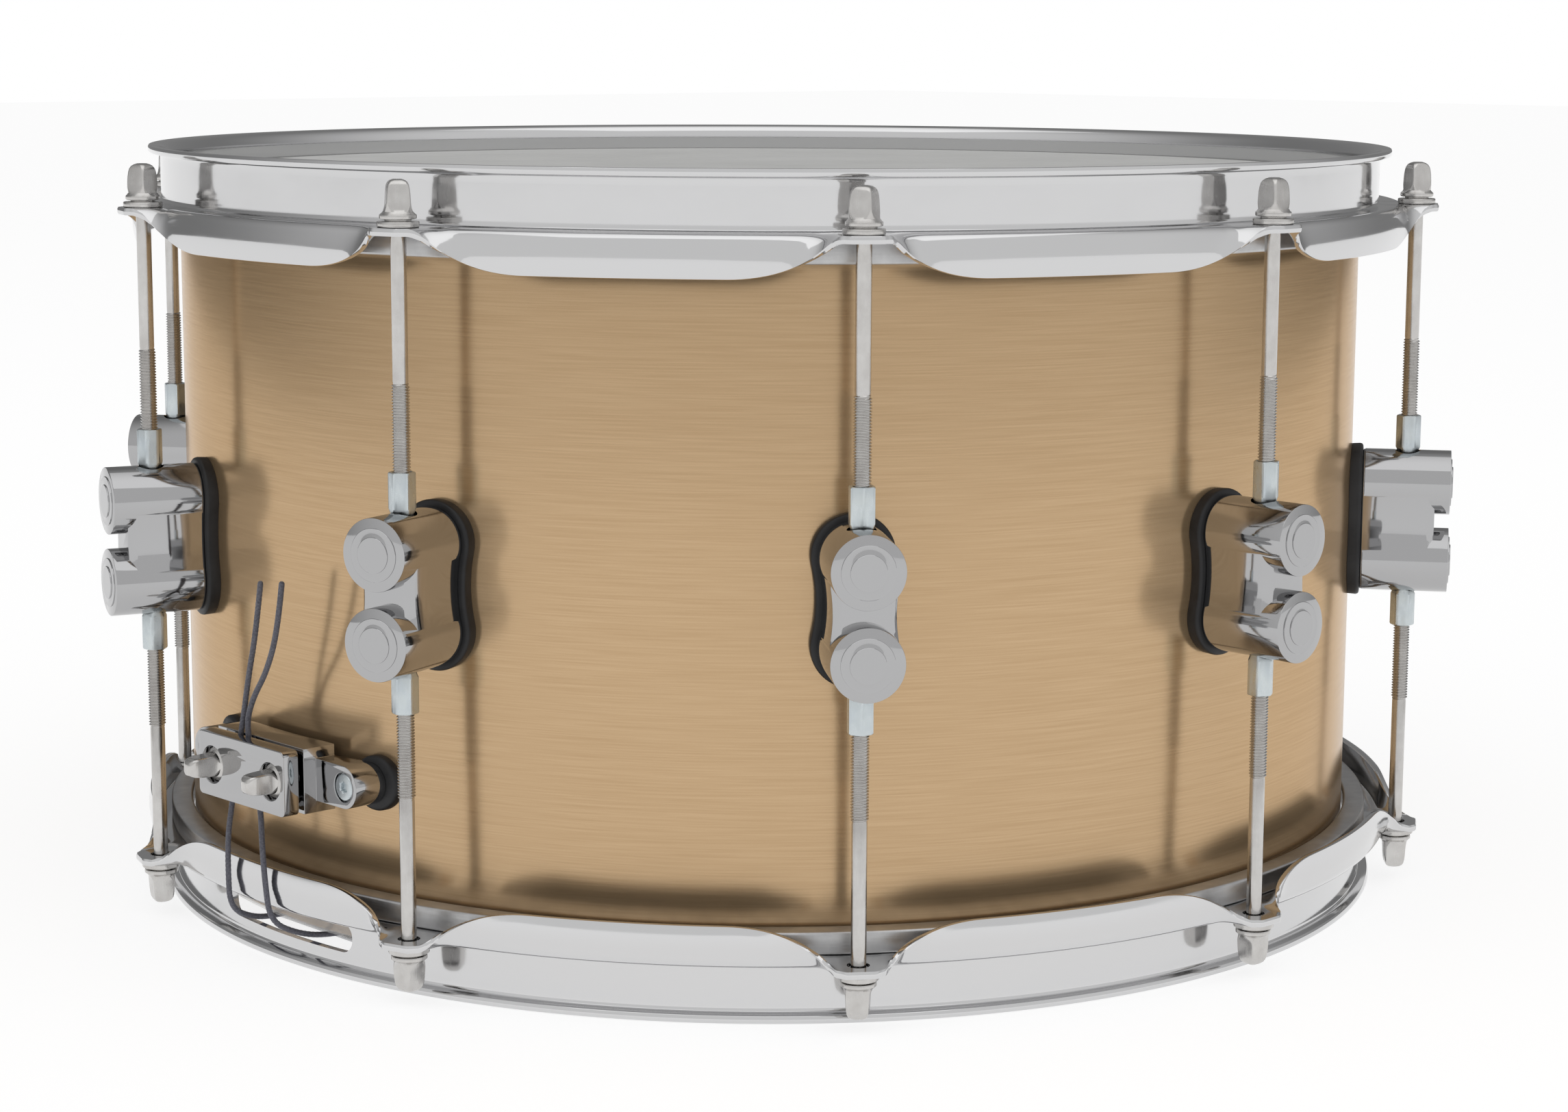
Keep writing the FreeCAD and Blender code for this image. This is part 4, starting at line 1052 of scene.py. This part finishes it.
def fluted(radius, height):
    points = []
    for step in range(144):
        angle = math.tau * step / 144
        reach = radius - 0.22 * (1 + math.cos(24 * angle))
        points.append((reach * math.cos(angle), reach * math.sin(angle), height))
    return points


def make_knob():
    low, high = node_box("tension_knob")
    middle = node_middle("tension_knob")
    base = low.z
    loops = [ring(4.2, base + 0.35, 144), ring(4.6, base, 144), ring(5.7, base, 144), fluted(6.3, base + 0.3),
             fluted(6.5, base + 0.8), fluted(6.5, base + 6.7), fluted(6.3, base + 7.2), ring(5.7, base + 7.5, 144),
             ring(2.05, base + 7.5, 144), ring(2.05, high.z - 0.4, 144), ring(1.75, high.z, 144)]
    shape = joined([loft(loops, True, True), thread_shape(base + 7.7, high.z - 0.5, 2.0, 2.38)])
    piece("fluted_knob", moved(shape, shifted(middle.x, middle.y, 0)), CHROME, ["tension_knob"])


def coil(reach, across, height):
    """One snare wire wound along X."""
    points, faces = [], []
    turn, segments, sides = 1.9, 8, 4
    steps = int(2 * reach / turn) * segments
    for step in range(steps + 1):
        angle = math.tau * step / segments
        along = -reach + 2 * reach * step / steps
        for side in range(sides):
            swing = math.tau * side / sides
            radius = 0.85 + 0.24 * math.cos(swing)
            points.append((along + 0.24 * math.sin(swing), across + radius * math.cos(angle),
                           height + radius * math.sin(angle)))
    for step in range(steps):
        for side in range(sides):
            after = (side + 1) % sides
            faces.append((step * sides + side, step * sides + after, (step + 1) * sides + after,
                          (step + 1) * sides + side))
    faces.append(tuple(range(sides - 1, -1, -1)))
    faces.append(tuple(steps * sides + side for side in range(sides)))
    return points, faces


def make_fasteners():
    low, high = node_box("butt_clamp_screws")
    butt = [laid(clamp_screw(CLAMP_HEAD), -1, -low.x, across, (low.z + high.z) / 2)
            for across in (-CLAMP_SCREW_OFFSET, CLAMP_SCREW_OFFSET)]
    piece("butt_key_screws", joined(butt), ROD_STEEL, ["butt_clamp_screws"], 32.0)
    low, high = node_box("strainer_clamp_screws")
    strainer = [laid(clamp_screw(CLAMP_HEAD), 1, high.x, across, (low.z + high.z) / 2)
                for across in (-CLAMP_SCREW_OFFSET, CLAMP_SCREW_OFFSET)]
    piece("strainer_key_screws", joined(strainer), ROD_STEEL, ["strainer_clamp_screws"], 32.0)
    screws = [laid(bracket_screw(), side, BRACKET_SCREW_TIP, across, height)
              for side, height in BRACKETS for across in (-BRACKET_SCREW_OFFSET, BRACKET_SCREW_OFFSET)]
    piece("star_bracket_screws", joined(screws), ZINC, ["bracket_screws"], 32.0)


def make_snare_wires():
    wires = [coil(WIRE_REACH, (number - (WIRE_COUNT - 1) / 2) * WIRE_PITCH, WIRE_HEIGHT)
             for number in range(WIRE_COUNT)]
    piece("coiled_snare_wires", joined(wires), WIRE_STEEL, ["snare_wires"], 60.0)


make_fasteners()
make_knob()
make_snare_wires()


# ---- floor and light

def make_floor():
    shader = Shader("pale_floor", (0.3, 0.3, 0.3), 0.0, 0.8,
                    Emission_Color=(1, 1, 1, 1), Emission_Strength=0.77)
    floor = make_object("studio_floor", ([(-9000, -9000, -0.3), (9000, -9000, -0.3), (9000, 9000, -0.3),
                                          (-9000, 9000, -0.3)], [(0, 1, 2, 3)]), shader.material)


def make_world():
    """Soft light that is brightest in front of the drum and overhead, with a pale backdrop."""
    world = bpy.data.worlds.new("studio")
    bpy.context.scene.world = world
    world.use_nodes = True
    tree = world.node_tree
    tree.nodes.clear()
    place = tree.nodes.new("ShaderNodeTexCoord")
    facing = tree.nodes.new("ShaderNodeVectorMath")
    facing.operation = "DOT_PRODUCT"
    facing.inputs[1].default_value = (-0.52, -0.81, 0.26)
    spread = tree.nodes.new("ShaderNodeMapRange")
    spread.interpolation_type = "SMOOTHSTEP"
    spread.inputs["From Min"].default_value = -0.7
    spread.inputs["From Max"].default_value = 0.6
    spread.inputs["To Min"].default_value = 0.28
    spread.inputs["To Max"].default_value = 1.0
    soft = tree.nodes.new("ShaderNodeBackground")
    backdrop = tree.nodes.new("ShaderNodeBackground")
    backdrop.inputs["Color"].default_value = (1, 1, 1, 1)
    backdrop.inputs["Strength"].default_value = 1.0
    path = tree.nodes.new("ShaderNodeLightPath")
    either = tree.nodes.new("ShaderNodeMixShader")
    out = tree.nodes.new("ShaderNodeOutputWorld")
    tree.links.new(place.outputs["Generated"], facing.inputs[0])
    tree.links.new(facing.outputs["Value"], spread.inputs["Value"])
    tree.links.new(spread.outputs["Result"], soft.inputs["Strength"])
    tree.links.new(path.outputs["Is Camera Ray"], either.inputs["Fac"])
    tree.links.new(soft.outputs["Background"], either.inputs[1])
    tree.links.new(backdrop.outputs["Background"], either.inputs[2])
    tree.links.new(either.outputs["Shader"], out.inputs["Surface"])


def add_light(name, place, aim, size, power):
    data = bpy.data.lights.new(name, "AREA")
    data.shape = "RECTANGLE"
    data.size, data.size_y = size
    data.energy = power
    light = bpy.data.objects.new(name, data)
    bpy.context.scene.collection.objects.link(light)
    light.location = place
    light.rotation_mode = "QUATERNION"
    light.rotation_quaternion = (Vector(aim) - Vector(place)).to_track_quat("-Z", "Y")


make_floor()
make_world()
add_light("overhead", (-0.3, -0.3, 2.2), (0, 0, 0.1), (2.6, 2.6), 10)
bpy.context.scene.view_settings.view_transform = "Standard"
bpy.context.scene.view_settings.look = "None"
